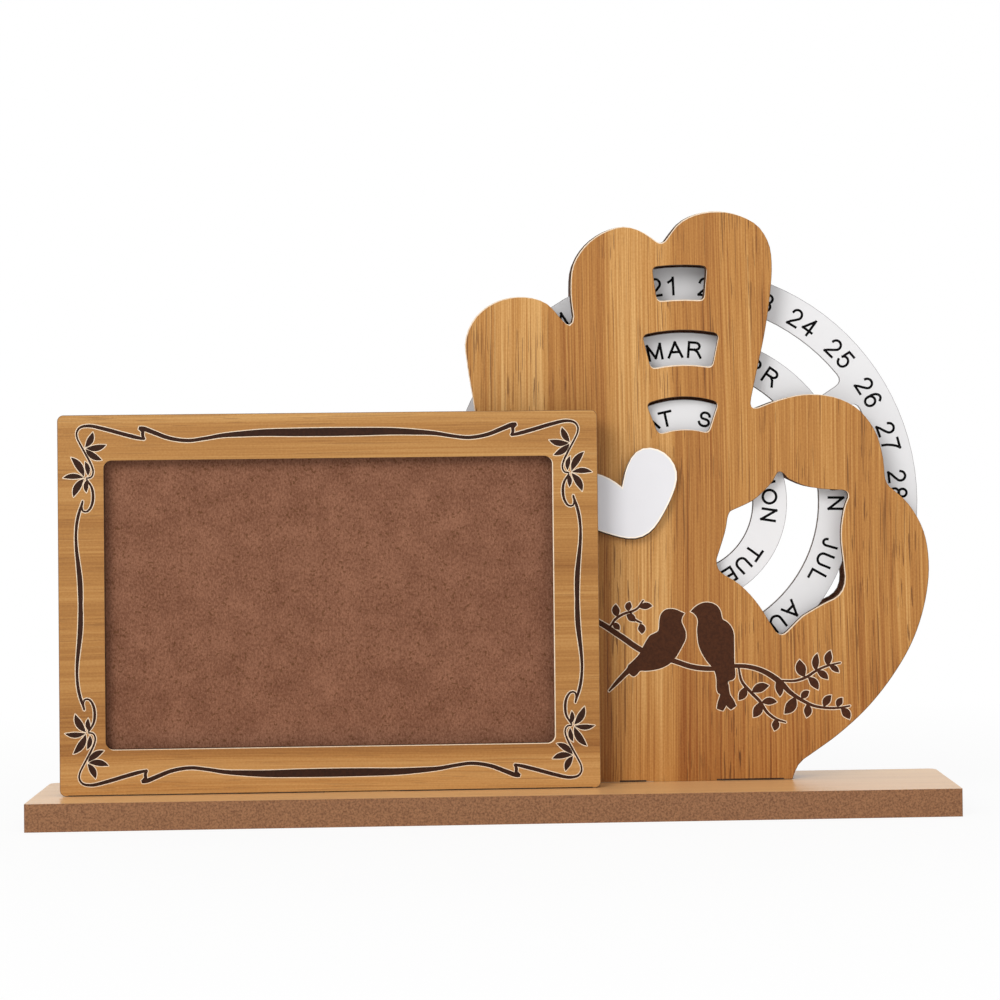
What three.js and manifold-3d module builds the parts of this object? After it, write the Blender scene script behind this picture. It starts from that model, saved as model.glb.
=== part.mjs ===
// Perpetual desk calendar: a photo frame and a calendar hand that stand in slots of one plank.
// The hand is a sandwich of two laser-cut plates. Three ring dials turn between them on one post,
// and the date, month and weekday show in windows of the front plate.
// Millimetres. X runs along the plank, -Y is the front and Z is up. The origin is the middle of
// the plank's underside.

import * as THREE from 'three';
import { mergeVertices } from 'three/addons/utils/BufferGeometryUtils.js';
import Module from 'manifold-3d';

// Base plank
const baseLong = 300;
const baseDeep = 60;
const baseThick = 9;
const baseFrontCorner = 0.4;
const baseRearCorner = 3;

// Sheet, glue and running clearances
const plateThick = 3;
const glueLine = 0.1;
const seatGap = 0.1;
const slotClearance = 0.2;
const tabDeep = 8;
const overrun = 5;

// Photo frame
const frameWide = 175.3;
const frameHigh = 123.4;
const frameBand = 14.85;
const frameCorner = 2;
const windowCorner = 2.6;
const frameEndInset = 8.75;
const frameFrontShare = 0.315;
const photoLap = 4.2;
const photoSlot = 1.5;
const frameTabWide = 25;
const frameTabShift = 10;

// Hand. Its height, and the places and sizes of its dials, are shares of its width.
const handWide = 154;
const handHighShare = 1.2295;
const handEndInset = 86.35;
const handFrontShare = 0.5667;
const handTabWide = 23;

// Post and dials, all about one axis
const dialAxisShare = 0.5994;
const postRadius = 4;
const dialThick = 2;
const washerThick = 0.5;
const washerRadius = 7;
const runningGap = 0.2;
const boreClearance = 0.3;
const hubRadius = 8;
const rimClearance = 1.2;
const spokeCount = 3;
const openingCorner = 3;

// Dials from front to back, in shares of the hand's width and degrees. A dial is a ring from
// innerShare to outerShare on spokes. Its window is a sector above the axis that starts at
// windowShare and is as high as viewShare says.
const dials = [
  {
    name: 'weekday_dial', innerShare: 0.1487, outerShare: 0.2234, spokeShare: 0.0387, spokeAngle: 38,
    windowShare: 0.1584, viewShare: 0.0711, windowHalfAngle: 19.9,
  },
  {
    name: 'month_dial', innerShare: 0.2942, outerShare: 0.3695, spokeShare: 0.0452, spokeAngle: 38,
    windowShare: 0.2984, viewShare: 0.0753, windowHalfAngle: 12.85,
  },
  {
    name: 'date_dial', innerShare: 0.4383, outerShare: 0.5136, spokeShare: 0.0516, spokeAngle: 33,
    windowShare: 0.4393, viewShare: 0.0753, windowHalfAngle: 6.5,
  },
];
const washerNames = ['front_washer', 'weekday_month_washer', 'month_date_washer', 'rear_washer'];
const viewLean = 0.85;
const viewCorner = 1.9;

// Heart on the front of the hand, placed by its tip, which leans to the right of the axis
const heartWide = 37.6;
const heartHigh = 27.3;
const heartThick = 3;
const heartTilt = 21.9;
const heartTipShare = [-0.0933, 0.4277];

// How finely curves are drawn
const outlineStep = 2.6;
const circleSteps = 96;
const boreSteps = 32;
const cornerSteps = 4;

// The hand's outline, counter-clockwise from the foot's right end: shares of its width from the
// dial axis and of its height from the foot. Each run is a smooth curve; each turn is the corner
// that rounds it into the next run.
const handShares = [
  {
    run: [
      [0.226, 0], [0.233, 0.016], [0.244, 0.03], [0.27, 0.045], [0.326, 0.077], [0.391, 0.124],
      [0.449, 0.182], [0.493, 0.244], [0.52, 0.313], [0.528, 0.376], [0.517, 0.434],
      [0.484, 0.482], [0.451, 0.507],
    ],
    turn: [0.435, 0.516],
  },
  {
    run: [
      [0.434, 0.534], [0.431, 0.563], [0.415, 0.609], [0.379, 0.648], [0.329, 0.67],
      [0.263, 0.676], [0.206, 0.667], [0.161, 0.654],
    ],
    turn: [0.139, 0.647],
  },
  {
    run: [
      [0.146, 0.671], [0.158, 0.716], [0.176, 0.782], [0.189, 0.85], [0.194, 0.906],
      [0.188, 0.942], [0.165, 0.973], [0.125, 0.992], [0.075, 1], [0.025, 0.994], [-0.01, 0.979],
      [-0.034, 0.955],
    ],
    turn: [-0.044, 0.941],
  },
  {
    run: [
      [-0.055, 0.947], [-0.085, 0.964], [-0.125, 0.974], [-0.171, 0.965], [-0.212, 0.942],
      [-0.239, 0.908], [-0.245, 0.86], [-0.24, 0.817],
    ],
    turn: [-0.243, 0.793],
  },
  {
    run: [
      [-0.26, 0.809], [-0.297, 0.841], [-0.345, 0.852], [-0.401, 0.845], [-0.448, 0.818],
      [-0.471, 0.777], [-0.468, 0.737], [-0.453, 0.657], [-0.443, 0.582], [-0.438, 0.503],
      [-0.437, 0.402], [-0.426, 0.303], [-0.391, 0.203], [-0.33, 0.113], [-0.267, 0.049],
      [-0.242, 0.032], [-0.231, 0.016], [-0.226, 0],
    ],
  },
];

// The opening between thumb and forefinger, clockwise and in the same shares
const fingerHoleShares = [
  {
    run: [
      [0.193, 0.259], [0.18, 0.276], [0.163, 0.299], [0.146, 0.318], [0.128, 0.334],
      [0.108, 0.348], [0.087, 0.358],
    ],
    turn: [0.064, 0.368],
  },
  {
    run: [
      [0.067, 0.388], [0.076, 0.41], [0.087, 0.439], [0.091, 0.458],
    ],
    turn: [0.094, 0.471],
  },
  {
    run: [
      [0.101, 0.473], [0.124, 0.481], [0.145, 0.489], [0.164, 0.501], [0.178, 0.512],
      [0.19, 0.523], [0.199, 0.536],
    ],
    turn: [0.205, 0.544],
  },
  {
    run: [
      [0.215, 0.537], [0.22, 0.531], [0.24, 0.522], [0.261, 0.515], [0.289, 0.51],
      [0.316, 0.508], [0.341, 0.507],
    ],
    turn: [0.356, 0.506],
  },
  {
    run: [
      [0.354, 0.494], [0.347, 0.481], [0.342, 0.464], [0.338, 0.442], [0.337, 0.425],
      [0.339, 0.402], [0.342, 0.382], [0.345, 0.354],
    ],
    turn: [0.345, 0.327],
  },
  {
    run: [
      [0.32, 0.316], [0.296, 0.307], [0.272, 0.296], [0.251, 0.286], [0.233, 0.272],
      [0.218, 0.26],
    ],
    turn: [0.205, 0.249],
  },
];

// Where the spacer layer is split, as shares of the hand's width and height
const palmSpacerTopShare = 0.36;
const fingerSplitShare = -0.252;
const tipSpacerLowShare = 0.6;

// Right half of the heart from notch to tip, as shares of its width and height
const heartShares = [
  [0, 0.665], [0.06, 0.8], [0.18, 0.955], [0.276, 1], [0.37, 0.97], [0.455, 0.865],
  [0.5, 0.715], [0.497, 0.57], [0.45, 0.44], [0.365, 0.305], [0.24, 0.155], [0.13, 0.05],
  [0.045, 0.005], [0, 0],
];

// Colours
const woodColour = 0xc99b5f;
const boardColour = 0x895c47;
const plankColour = 0xd2b08c;
const dialColour = 0xececea;
const heartColour = 0xe6e4e7;
const postColour = 0xc8a878;
const washerColour = 0xd8d2c4;

const wood = { color: woodColour, roughness: 0.5, metalness: 0 };
const board = { color: boardColour, roughness: 0.85, metalness: 0 };
const plank = { color: plankColour, roughness: 0.6, metalness: 0 };
const dialCard = { color: dialColour, roughness: 0.35, metalness: 0 };
const heartPaint = { color: heartColour, roughness: 0.3, metalness: 0.1 };
const dowel = { color: postColour, roughness: 0.7, metalness: 0 };
const fibre = { color: washerColour, roughness: 0.7, metalness: 0 };

const wasm = await Module();
wasm.setup();

const fullTurn = Math.PI * 2;
const radians = THREE.MathUtils.degToRad;

// Sizes that follow from the ones above
const washerSpace = washerThick + 2 * runningGap;
const sandwichDeep = dials.length * dialThick + washerNames.length * washerSpace;
const frameMiddle = -baseLong / 2 + frameEndInset + frameWide / 2;
const frameFront = -baseDeep / 2 + baseDeep * frameFrontShare;
const frameSpacerFront = frameFront + plateThick + glueLine;
const frameBackFront = frameSpacerFront + photoSlot + glueLine;
const handMiddle = baseLong / 2 - handEndInset;
const handHigh = handWide * handHighShare;
const dialAxisHigh = handWide * dialAxisShare;
const handFront = -baseDeep / 2 + baseDeep * handFrontShare;
const rearPlateFront = handFront + plateThick + sandwichDeep;

// Joins runs of points into one outline and drops points that fall on the one before.
function outline(...parts) {
  const tiny = outlineStep / 100;
  const points = [];
  for (const point of parts.flat()) {
    if (!points.length || point.distanceTo(points[points.length - 1]) > tiny) {
      points.push(point);
    }
  }
  if (points[0].distanceTo(points[points.length - 1]) <= tiny) {
    points.pop();
  }
  return points;
}

function arc(radius, from, to, steps = circleSteps) {
  const count = Math.max(1, Math.ceil((Math.abs(to - from) / fullTurn) * steps));
  return Array.from({ length: count + 1 }, (_, i) => {
    const angle = from + ((to - from) * i) / count;
    return new THREE.Vector2(Math.cos(angle), Math.sin(angle)).multiplyScalar(radius);
  });
}

function circle(radius, steps = circleSteps) {
  return outline(arc(radius, 0, fullTurn, steps));
}

// The rounded corner between two points, drawn towards the corner's own point.
function bend(start, corner, end) {
  return new THREE.QuadraticBezierCurve(start, corner, end).getPoints(cornerSteps);
}

// An even, smooth curve through a few points.
function smooth(points) {
  const through = points.map((point) => new THREE.Vector3(point.x, point.y, 0));
  const curve = new THREE.CatmullRomCurve3(through, false, 'centripetal');
  const count = Math.ceil(curve.getLength() / outlineStep);
  return curve.getSpacedPoints(count).map((point) => new THREE.Vector2(point.x, point.y));
}

function roundedRectangle(left, right, bottom, top, radii) {
  const [lowerRight, upperRight, upperLeft, lowerLeft] = radii;
  const corner = (x, z, radius, from) =>
    radius ? arc(radius, from, from + fullTurn / 4, boreSteps).map((p) => p.add(new THREE.Vector2(x, z)))
      : [new THREE.Vector2(x, z)];
  return outline(
    corner(right - lowerRight, bottom + lowerRight, lowerRight, -fullTurn / 4),
    corner(right - upperRight, top - upperRight, upperRight, 0),
    corner(left + upperLeft, top - upperLeft, upperLeft, fullTurn / 4),
    corner(left + lowerLeft, bottom + lowerLeft, lowerLeft, fullTurn / 2),
  );
}

// An opening between two arcs about the dial axis and two straight sides. Each side runs along a
// ray from the axis, moved inwards by inset, so that spokes have parallel sides.
function arcOpening(inner, outer, from, to, inset, corner) {
  const onSide = (angle, shift, radius) =>
    new THREE.Vector2(Math.sqrt(radius ** 2 - shift ** 2), shift).rotateAround(new THREE.Vector2(), angle);
  const bearing = (point) => Math.atan2(point.y, point.x);
  const onArc = (radius, angle) => arc(radius, angle, angle)[0];
  const rise = onSide(from, inset, outer);
  const fall = onSide(to, -inset, outer);
  const base = onSide(to, -inset, inner);
  const start = onSide(from, inset, inner);
  const span = (a, b) => THREE.MathUtils.euclideanModulo(bearing(b) - bearing(a), fullTurn);
  const outerFrom = bearing(rise) + corner / outer;
  const outerTo = bearing(rise) + span(rise, fall) - corner / outer;
  const innerFrom = bearing(start) + span(start, base) - corner / inner;
  const innerTo = bearing(start) + corner / inner;
  return outline(
    bend(onSide(from, inset, outer - corner), rise, onArc(outer, outerFrom)),
    arc(outer, outerFrom, outerTo),
    bend(onArc(outer, outerTo), fall, onSide(to, -inset, outer - corner)),
    bend(onSide(to, -inset, inner + corner), base, onArc(inner, innerFrom)),
    arc(inner, innerFrom, innerTo),
    bend(onArc(inner, innerTo), start, onSide(from, inset, inner + corner)),
  );
}

// A sheet part: the outline stands in the XZ plane and its front face looks along -Y.
function sheet(points, holes, thickness) {
  const shape = new THREE.Shape(points);
  shape.holes = holes.map((hole) => new THREE.Path(hole));
  const geometry = new THREE.ExtrudeGeometry(shape, { depth: thickness, bevelEnabled: false });
  return geometry.rotateX(Math.PI / 2).translate(0, thickness, 0);
}

function solid(geometry) {
  const bare = geometry.index ? geometry.toNonIndexed() : geometry.clone();
  bare.deleteAttribute('normal');
  bare.deleteAttribute('uv');
  const merged = mergeVertices(bare);
  return new wasm.Manifold(new wasm.Mesh({
    numProp: 3,
    vertProperties: new Float32Array(merged.attributes.position.array),
    triVerts: new Uint32Array(merged.index.array),
  }));
}

function fromSolid(body) {
  const mesh = body.getMesh();
  const geometry = new THREE.BufferGeometry();
  geometry.setAttribute('position', new THREE.BufferAttribute(new Float32Array(mesh.vertProperties), 3));
  geometry.setIndex(new THREE.BufferAttribute(new Uint32Array(mesh.triVerts), 1));
  geometry.computeVertexNormals();
  return geometry;
}

const calendar = new THREE.Group();

function place(parent, name, geometry, look, x = 0, y = 0, z = 0) {
  const mesh = new THREE.Mesh(geometry, new THREE.MeshStandardMaterial(look));
  mesh.name = name;
  mesh.position.set(x, y, z);
  parent.add(mesh);
}

function rectangle(left, right, bottom, top) {
  return roundedRectangle(left, right, bottom, top, [0, 0, 0, 0]);
}

// The slots that the tabs of the frame and of the hand stand in
function slot(middle, tabWide, front) {
  const half = tabWide / 2 + slotClearance;
  return rectangle(middle - half, middle + half, front - slotClearance, front + plateThick + slotClearance);
}

function buildBase() {
  const halfLong = baseLong / 2;
  const halfDeep = baseDeep / 2;
  const corners = [baseFrontCorner, baseRearCorner, baseRearCorner, baseFrontCorner];
  const shape = new THREE.Shape(roundedRectangle(-halfLong, halfLong, -halfDeep, halfDeep, corners));
  const frameTab = frameMiddle + frameTabShift;
  shape.holes = [
    slot(frameTab, frameTabWide, frameFront),
    slot(frameTab, frameTabWide, frameBackFront),
    slot(handMiddle, handTabWide, handFront),
    slot(handMiddle, handTabWide, rearPlateFront),
  ].map((points) => new THREE.Path(points));
  const geometry = new THREE.ExtrudeGeometry(shape, { depth: baseThick, bevelEnabled: false });
  place(calendar, 'base_board', geometry, plank);
}

// Photo frame: front plate, U of spacer strips that leaves the top open for the photo, back board
function buildFrame() {
  const frame = new THREE.Group();
  frame.position.set(frameMiddle, 0, baseThick + seatGap);
  const half = frameWide / 2;
  const tabLeft = frameTabShift - frameTabWide / 2;
  const tabRight = frameTabShift + frameTabWide / 2;
  const tab = [
    new THREE.Vector2(tabLeft, 0), new THREE.Vector2(tabLeft, -tabDeep),
    new THREE.Vector2(tabRight, -tabDeep), new THREE.Vector2(tabRight, 0),
  ];
  const round = [frameCorner, frameCorner, frameCorner, frameCorner];
  const edge = outline(tab, roundedRectangle(-half, half, 0, frameHigh, round));
  const openHalf = half - frameBand;
  const openRound = [windowCorner, windowCorner, windowCorner, windowCorner];
  const opening = roundedRectangle(-openHalf, openHalf, frameBand, frameHigh - frameBand, openRound);
  place(frame, 'frame_front_plate', sheet(edge, [opening], plateThick), wood, 0, frameFront);
  place(frame, 'frame_back_board', sheet(edge, [], plateThick), board, 0, frameBackFront);

  const strip = frameBand - photoLap;
  const left = roundedRectangle(-half, -half + strip, 0, frameHigh, [0, 0, frameCorner, frameCorner]);
  const right = roundedRectangle(half - strip, half, 0, frameHigh, [frameCorner, frameCorner, 0, 0]);
  const reach = half - strip - glueLine;
  const bottom = rectangle(-reach, reach, 0, strip);
  for (const [name, points] of Object.entries({ left, right, bottom })) {
    place(frame, `frame_spacer_${name}`, sheet(points, [], photoSlot), board, 0, frameSpacerFront);
  }
  calendar.add(frame);
}

// One outline from share runs, each run smooth and each turn rounded
function fromShares(stretches) {
  const point = ([x, z]) => new THREE.Vector2(x * handWide, z * handHigh);
  return outline(...stretches.map(({ run, turn }, i) => {
    const next = stretches[(i + 1) % stretches.length].run[0];
    const curve = smooth(run.map(point));
    return turn ? [...curve, ...bend(point(run.at(-1)), point(turn), point(next))] : curve;
  }));
}

function aboutAxis(points) {
  return points.map((point) => point.clone().add(new THREE.Vector2(0, dialAxisHigh)));
}

function buildHandPlates(hand) {
  const profile = fromShares(handShares);
  const half = handTabWide / 2;
  const tab = [
    new THREE.Vector2(-half, 0), new THREE.Vector2(-half, -tabDeep),
    new THREE.Vector2(half, -tabDeep), new THREE.Vector2(half, 0),
  ];
  const edge = outline(tab, profile);
  const fingerHole = fromShares(fingerHoleShares);
  const views = dials.map(({ windowShare, viewShare, windowHalfAngle }) => {
    const low = handWide * windowShare;
    const high = low + handWide * viewShare;
    const middle = fullTurn / 4 + radians(viewLean);
    const from = middle - radians(windowHalfAngle);
    const to = middle + radians(windowHalfAngle);
    return aboutAxis(arcOpening(low, high, from, to, 0, viewCorner));
  });
  const postHole = aboutAxis(circle(postRadius + glueLine, boreSteps));
  place(hand, 'hand_front_plate', sheet(edge, [fingerHole, ...views], plateThick), wood, 0, handFront);
  place(hand, 'hand_rear_plate', sheet(edge, [fingerHole, postHole], plateThick), wood, 0, rearPlateFront);

  // The spacer layer follows the plates' edge and stays clear of the largest dial.
  const spacerThick = sandwichDeep - 2 * glueLine;
  const room = handWide * dials.at(-1).outerShare + rimClearance;
  const layer = solid(sheet(profile, [], spacerThick));
  const dialRoom = solid(
    sheet(aboutAxis(circle(room)), [], spacerThick + 2 * overrun).translate(0, -overrun, 0),
  );
  const rim = layer.subtract(dialRoom);
  const piece = (left, right, bottom, top) => fromSolid(rim.intersect(solid(
    sheet(rectangle(left, right, bottom, top), [], spacerThick + 2 * overrun).translate(0, -overrun, 0),
  )));
  const split = handWide * fingerSplitShare;
  const tipLow = handHigh * tipSpacerLowShare;
  const tipHigh = handHigh + overrun;
  const spacers = {
    palm_spacer: piece(-handWide, handWide, -overrun, handHigh * palmSpacerTopShare),
    fingertip_spacer: piece(split, handWide, tipLow, tipHigh),
    little_finger_spacer: piece(-handWide, split, tipLow, tipHigh),
  };
  for (const [name, geometry] of Object.entries(spacers)) {
    place(hand, name, geometry, board, 0, handFront + plateThick + glueLine);
  }
}

// Ring, hub and spokes in one sheet; the openings between the spokes are seen through.
function dialSheet({ innerShare, outerShare, spokeShare, spokeAngle }) {
  const step = fullTurn / spokeCount;
  const inner = handWide * innerShare;
  const halfSpoke = (handWide * spokeShare) / 2;
  const gaps = Array.from({ length: spokeCount }, (_, i) => {
    const from = radians(spokeAngle) + i * step;
    return arcOpening(hubRadius, inner, from, from + step, halfSpoke, openingCorner);
  });
  const bore = circle(postRadius + boreClearance, boreSteps);
  return sheet(circle(handWide * outerShare), [bore, ...gaps], dialThick);
}

// Washers and dials stacked on the post, from the front plate to the rear plate
function buildDialStack(hand) {
  const stack = new THREE.Group();
  stack.position.set(0, handFront + plateThick, dialAxisHigh);
  const washerHole = circle(postRadius + boreClearance, boreSteps);
  const washer = () => sheet(circle(washerRadius, boreSteps), [washerHole], washerThick);
  const pitch = washerSpace + dialThick;
  dials.forEach((dial, i) => place(stack, dial.name, dialSheet(dial), dialCard, 0, washerSpace + i * pitch));
  washerNames.forEach((name, i) => place(stack, name, washer(), fibre, 0, runningGap + i * pitch));
  const post = sheet(circle(postRadius, boreSteps), [], sandwichDeep + plateThick - glueLine);
  place(stack, 'pivot_post', post, dowel, 0, glueLine);
  hand.add(stack);
}

function buildHeart(hand) {
  const right = smooth(heartShares.map(([x, z]) => new THREE.Vector2(x * heartWide, z * heartHigh)));
  const left = right.map((point) => new THREE.Vector2(-point.x, point.y)).reverse();
  const points = outline(left, right).reverse();
  const tilted = points.map((point) => point.rotateAround(new THREE.Vector2(), radians(heartTilt)));
  const [across, up] = heartTipShare;
  const front = handFront - glueLine - heartThick;
  place(hand, 'heart_ornament', sheet(tilted, [], heartThick), heartPaint, across * handWide, front, up * handHigh);
}

buildBase();
buildFrame();
const hand = new THREE.Group();
hand.position.set(handMiddle, 0, baseThick + seatGap);
buildHandPlates(hand);
buildDialStack(hand);
buildHeart(hand);
calendar.add(hand);

export default calendar;
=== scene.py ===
"""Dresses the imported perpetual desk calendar: wood print, raw board, laser-cut edges, engraved
ornament, lettered dials, camera and light. Drawings are in millimetres, the scene is in metres."""

import math

import bmesh
import bpy
import numpy as np
from mathutils import Matrix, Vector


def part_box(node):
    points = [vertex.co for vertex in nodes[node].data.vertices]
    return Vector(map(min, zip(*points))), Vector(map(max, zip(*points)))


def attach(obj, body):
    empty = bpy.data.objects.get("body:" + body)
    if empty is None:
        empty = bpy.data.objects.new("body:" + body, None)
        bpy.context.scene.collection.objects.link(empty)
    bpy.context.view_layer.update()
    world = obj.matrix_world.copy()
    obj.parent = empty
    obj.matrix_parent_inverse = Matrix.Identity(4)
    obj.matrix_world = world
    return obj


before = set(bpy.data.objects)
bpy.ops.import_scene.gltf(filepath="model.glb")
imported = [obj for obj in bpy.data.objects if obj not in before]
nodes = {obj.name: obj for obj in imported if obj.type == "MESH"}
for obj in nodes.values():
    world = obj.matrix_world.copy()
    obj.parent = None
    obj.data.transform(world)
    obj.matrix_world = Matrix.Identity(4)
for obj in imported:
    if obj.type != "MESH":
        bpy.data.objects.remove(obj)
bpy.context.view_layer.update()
MM = 0.001


# Colours, as they look on the object

def shade(red, green, blue):
    """Turns a 0-255 screen colour into the linear RGBA that shaders use (sRGB curve)."""
    c = np.array([red, green, blue]) / 255
    linear = np.where(c <= 0.04045, c / 12.92, ((c + 0.055) / 1.055) ** 2.4)
    return (*linear.tolist(), 1.0)


OAK_LIGHT = shade(223, 176, 112)
OAK_MID = shade(184, 129, 65)
OAK_DEEP = shade(138, 78, 26)
FRAME_OAK_LIGHT = shade(206, 160, 98)
FRAME_OAK_MID = shade(172, 121, 62)
FRAME_OAK_DEEP = shade(130, 79, 30)
OAK_PORE = shade(92, 50, 16)
# The plank's print tones are a lighter copy of the oak: painted light for the sheen and light on its
# top
LIT_PLANK_LIGHT = shade(250, 210, 160)
LIT_PLANK_MID = shade(240, 192, 134)
LIT_PLANK_DEEP = shade(220, 166, 106)
BOARD_LIGHT = shade(152, 106, 82)
BOARD_DARK = shade(98, 60, 42)
SAWN_LIGHT = shade(156, 110, 74)
SAWN_DARK = shade(104, 66, 41)
# Laser char on cut edges, also the colour of painted shadow lines
CHAR_AND_SHADE = shade(48, 28, 14)
SCORCH = shade(92, 58, 34)
ENGRAVED = shade(74, 40, 20)
VINE_BROWN = shade(54, 29, 16)
# Pale paper outline of the print, also used for painted highlights along cut edges
PALE_OUTLINE_AND_HIGHLIGHT = shade(238, 218, 194)
# Browned cut edges, also drawn as painted shade where an edge faces away from the lamp
EDGE_BROWN_AND_SHADE = shade(132, 98, 66)
CARD_WHITE = shade(230, 229, 230)
CARD_CLOUD = shade(226, 225, 225)
CARD_EDGE = shade(170, 168, 168)
HEART_WHITE = shade(230, 229, 232)
HEART_CLOUD = shade(222, 221, 224)
HEART_SIDE = shade(168, 162, 160)
# Painted highlight along the heart's edge
HEART_HIGHLIGHT = shade(255, 246, 230)
INK = shade(10, 9, 10)
DOWEL_WOOD = shade(206, 172, 124)
FIBRE_GREY = shade(212, 206, 196)
FLOOR_WHITE = shade(250, 250, 250)
PURE_WHITE = (1, 1, 1, 1)


# Building node trees

class Wiring:
    """Adds nodes to one tree. Every method gives back the new node's output socket, and parts
    and group give back all of them."""

    def __init__(self, tree):
        self.tree = tree

    def node(self, kind, feeds=(), out=0, **settings):
        """A node of that kind. Each feed is a socket and the value or the output that goes in."""
        new = self.tree.nodes.new(kind)
        for key, value in settings.items():
            setattr(new, key, value)
        for socket, value in feeds:
            if isinstance(value, bpy.types.NodeSocket):
                self.tree.links.new(value, new.inputs[socket])
            else:
                new.inputs[socket].default_value = value
        return new.outputs[out]

    def math(self, operation, *values):
        return self.node("ShaderNodeMath", enumerate(values), operation=operation)

    def vector(self, operation, *values, out=0):
        return self.node("ShaderNodeVectorMath", enumerate(values), out=out, operation=operation)

    def noise(self, vector, cells, detail=2.0, roughness=0.5):
        """Noise with so many cells per metre along each axis."""
        scaled = self.vector("MULTIPLY", vector, cells)
        feeds = [("Vector", scaled), ("Scale", 1.0), ("Detail", detail), ("Roughness", roughness)]
        return self.node("ShaderNodeTexNoise", feeds)

    def step(self, value, low, high):
        """0 below low, 1 above high, smooth between."""
        feeds = [("Value", value), ("From Min", low), ("From Max", high)]
        return self.node("ShaderNodeMapRange", feeds, interpolation_type="SMOOTHSTEP")

    def swing(self, value, amount, start):
        """The start value, moved up or down as far as value departs from a half, times amount."""
        away = self.math("SUBTRACT", value, 0.5)
        return self.math("ADD", start, self.math("MULTIPLY", away, amount))

    def mix(self, share, first, second):
        """The first colour where share is 0, the second where it is 1."""
        feeds = [(0, share), (6, first), (7, second)]
        return self.node("ShaderNodeMix", feeds, out=2, data_type="RGBA")

    def parts(self, vector):
        split = self.tree.nodes.new("ShaderNodeSeparateXYZ")
        self.tree.links.new(vector, split.inputs[0])
        return split.outputs

    def join(self, x, y, z):
        return self.node("ShaderNodeCombineXYZ", [(0, x), (1, y), (2, z)])

    def place(self, out="Object"):
        """Object coordinates, which are the scene's own metres, or the surface's normal."""
        return self.node("ShaderNodeTexCoord", out=out)

    def group(self, tree, **feeds):
        """A group's node. An underscore in a feed's name stands for a space in the socket's."""
        new = self.tree.nodes.new("ShaderNodeGroup")
        new.node_tree = tree
        for name, value in feeds.items():
            socket = new.inputs[name.replace("_", " ")]
            if isinstance(value, bpy.types.NodeSocket):
                self.tree.links.new(value, socket)
            else:
                socket.default_value = value
        return new.outputs


SOCKETS = {"colour": "NodeSocketColor", "number": "NodeSocketFloat", "vector": "NodeSocketVector"}


def new_group(name, inputs, outputs):
    """A shader node group with named sockets: returns its tree, wiring, inputs and output node."""
    tree = bpy.data.node_groups.new(name, "ShaderNodeTree")
    for label, kind in inputs.items():
        tree.interface.new_socket(name=label, in_out="INPUT", socket_type=SOCKETS[kind])
    for label, kind in outputs.items():
        tree.interface.new_socket(name=label, in_out="OUTPUT", socket_type=SOCKETS[kind])
    given = tree.nodes.new("NodeGroupInput").outputs
    result = tree.nodes.new("NodeGroupOutput").inputs
    return tree, Wiring(tree), given, result


def even(cells):
    """The same number of noise cells per metre along all three axes."""
    return (cells, cells, cells)


# Cells per metre of each noise. In the printed oak they go across the grain and along it.
SWAY_CELLS = (14.0, 5.0, 1.0)
BAND_CELLS = (130.0, 2.5, 1.0)
STREAK_CELLS = (1700.0, 11.0, 1.0)
DOT_CELLS = (1700.0, 1300.0, 1.0)
CROWD_CELLS = (90.0, 9.0, 1.0)
PORE_CELLS = (1900.0, 70.0, 1.0)
LONG_PORE_CELLS = (1500.0, 19.0, 1.0)
MOTTLE_CELLS = even(120.0)
FELT_CELLS = (1700.0, 1700.0, 1100.0)
SPECK_CELLS = even(1000.0)
STRIPE_CELLS = (1500.0, 160.0, 1500.0)
CARD_CLOUD_CELLS = even(35.0)
CARD_TOOTH_CELLS = even(900.0)
LACQUER_CLOUD_CELLS = even(60.0)
LACQUER_PEEL_CELLS = even(420.0)

# Where a noise starts to show, and where it shows fully
CROWD_RANGE = (0.4, 0.66)
PORE_RANGE = (0.62, 0.66)
LONG_PORE_RANGE = (0.655, 0.69)
FIBRE_RANGE = (0.27, 0.74)
SPECK_RANGE = (0.63, 0.71)
SCORCH_RANGE = (0.3, 0.75)
GRAIN_RANGE = (0.3, 0.7)

# Cosines between a surface and its sheet's direction: it starts to count as flat, and fully does
SIDE_RANGE = (0.5, 0.8)

# How far the grain sways, how soft the planks' joints are, and how much each noise adds
SWAY_METRES = 0.006
PLANK_BLUR = 0.35
DOT_SWING = 0.25
LONG_PORE_SHARE = 0.8
STREAK_RELIEF = 0.3
MOTTLE_SHARE = 0.3
FELT_SHARE = 0.7
SPECK_SHARE = 0.7


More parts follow.
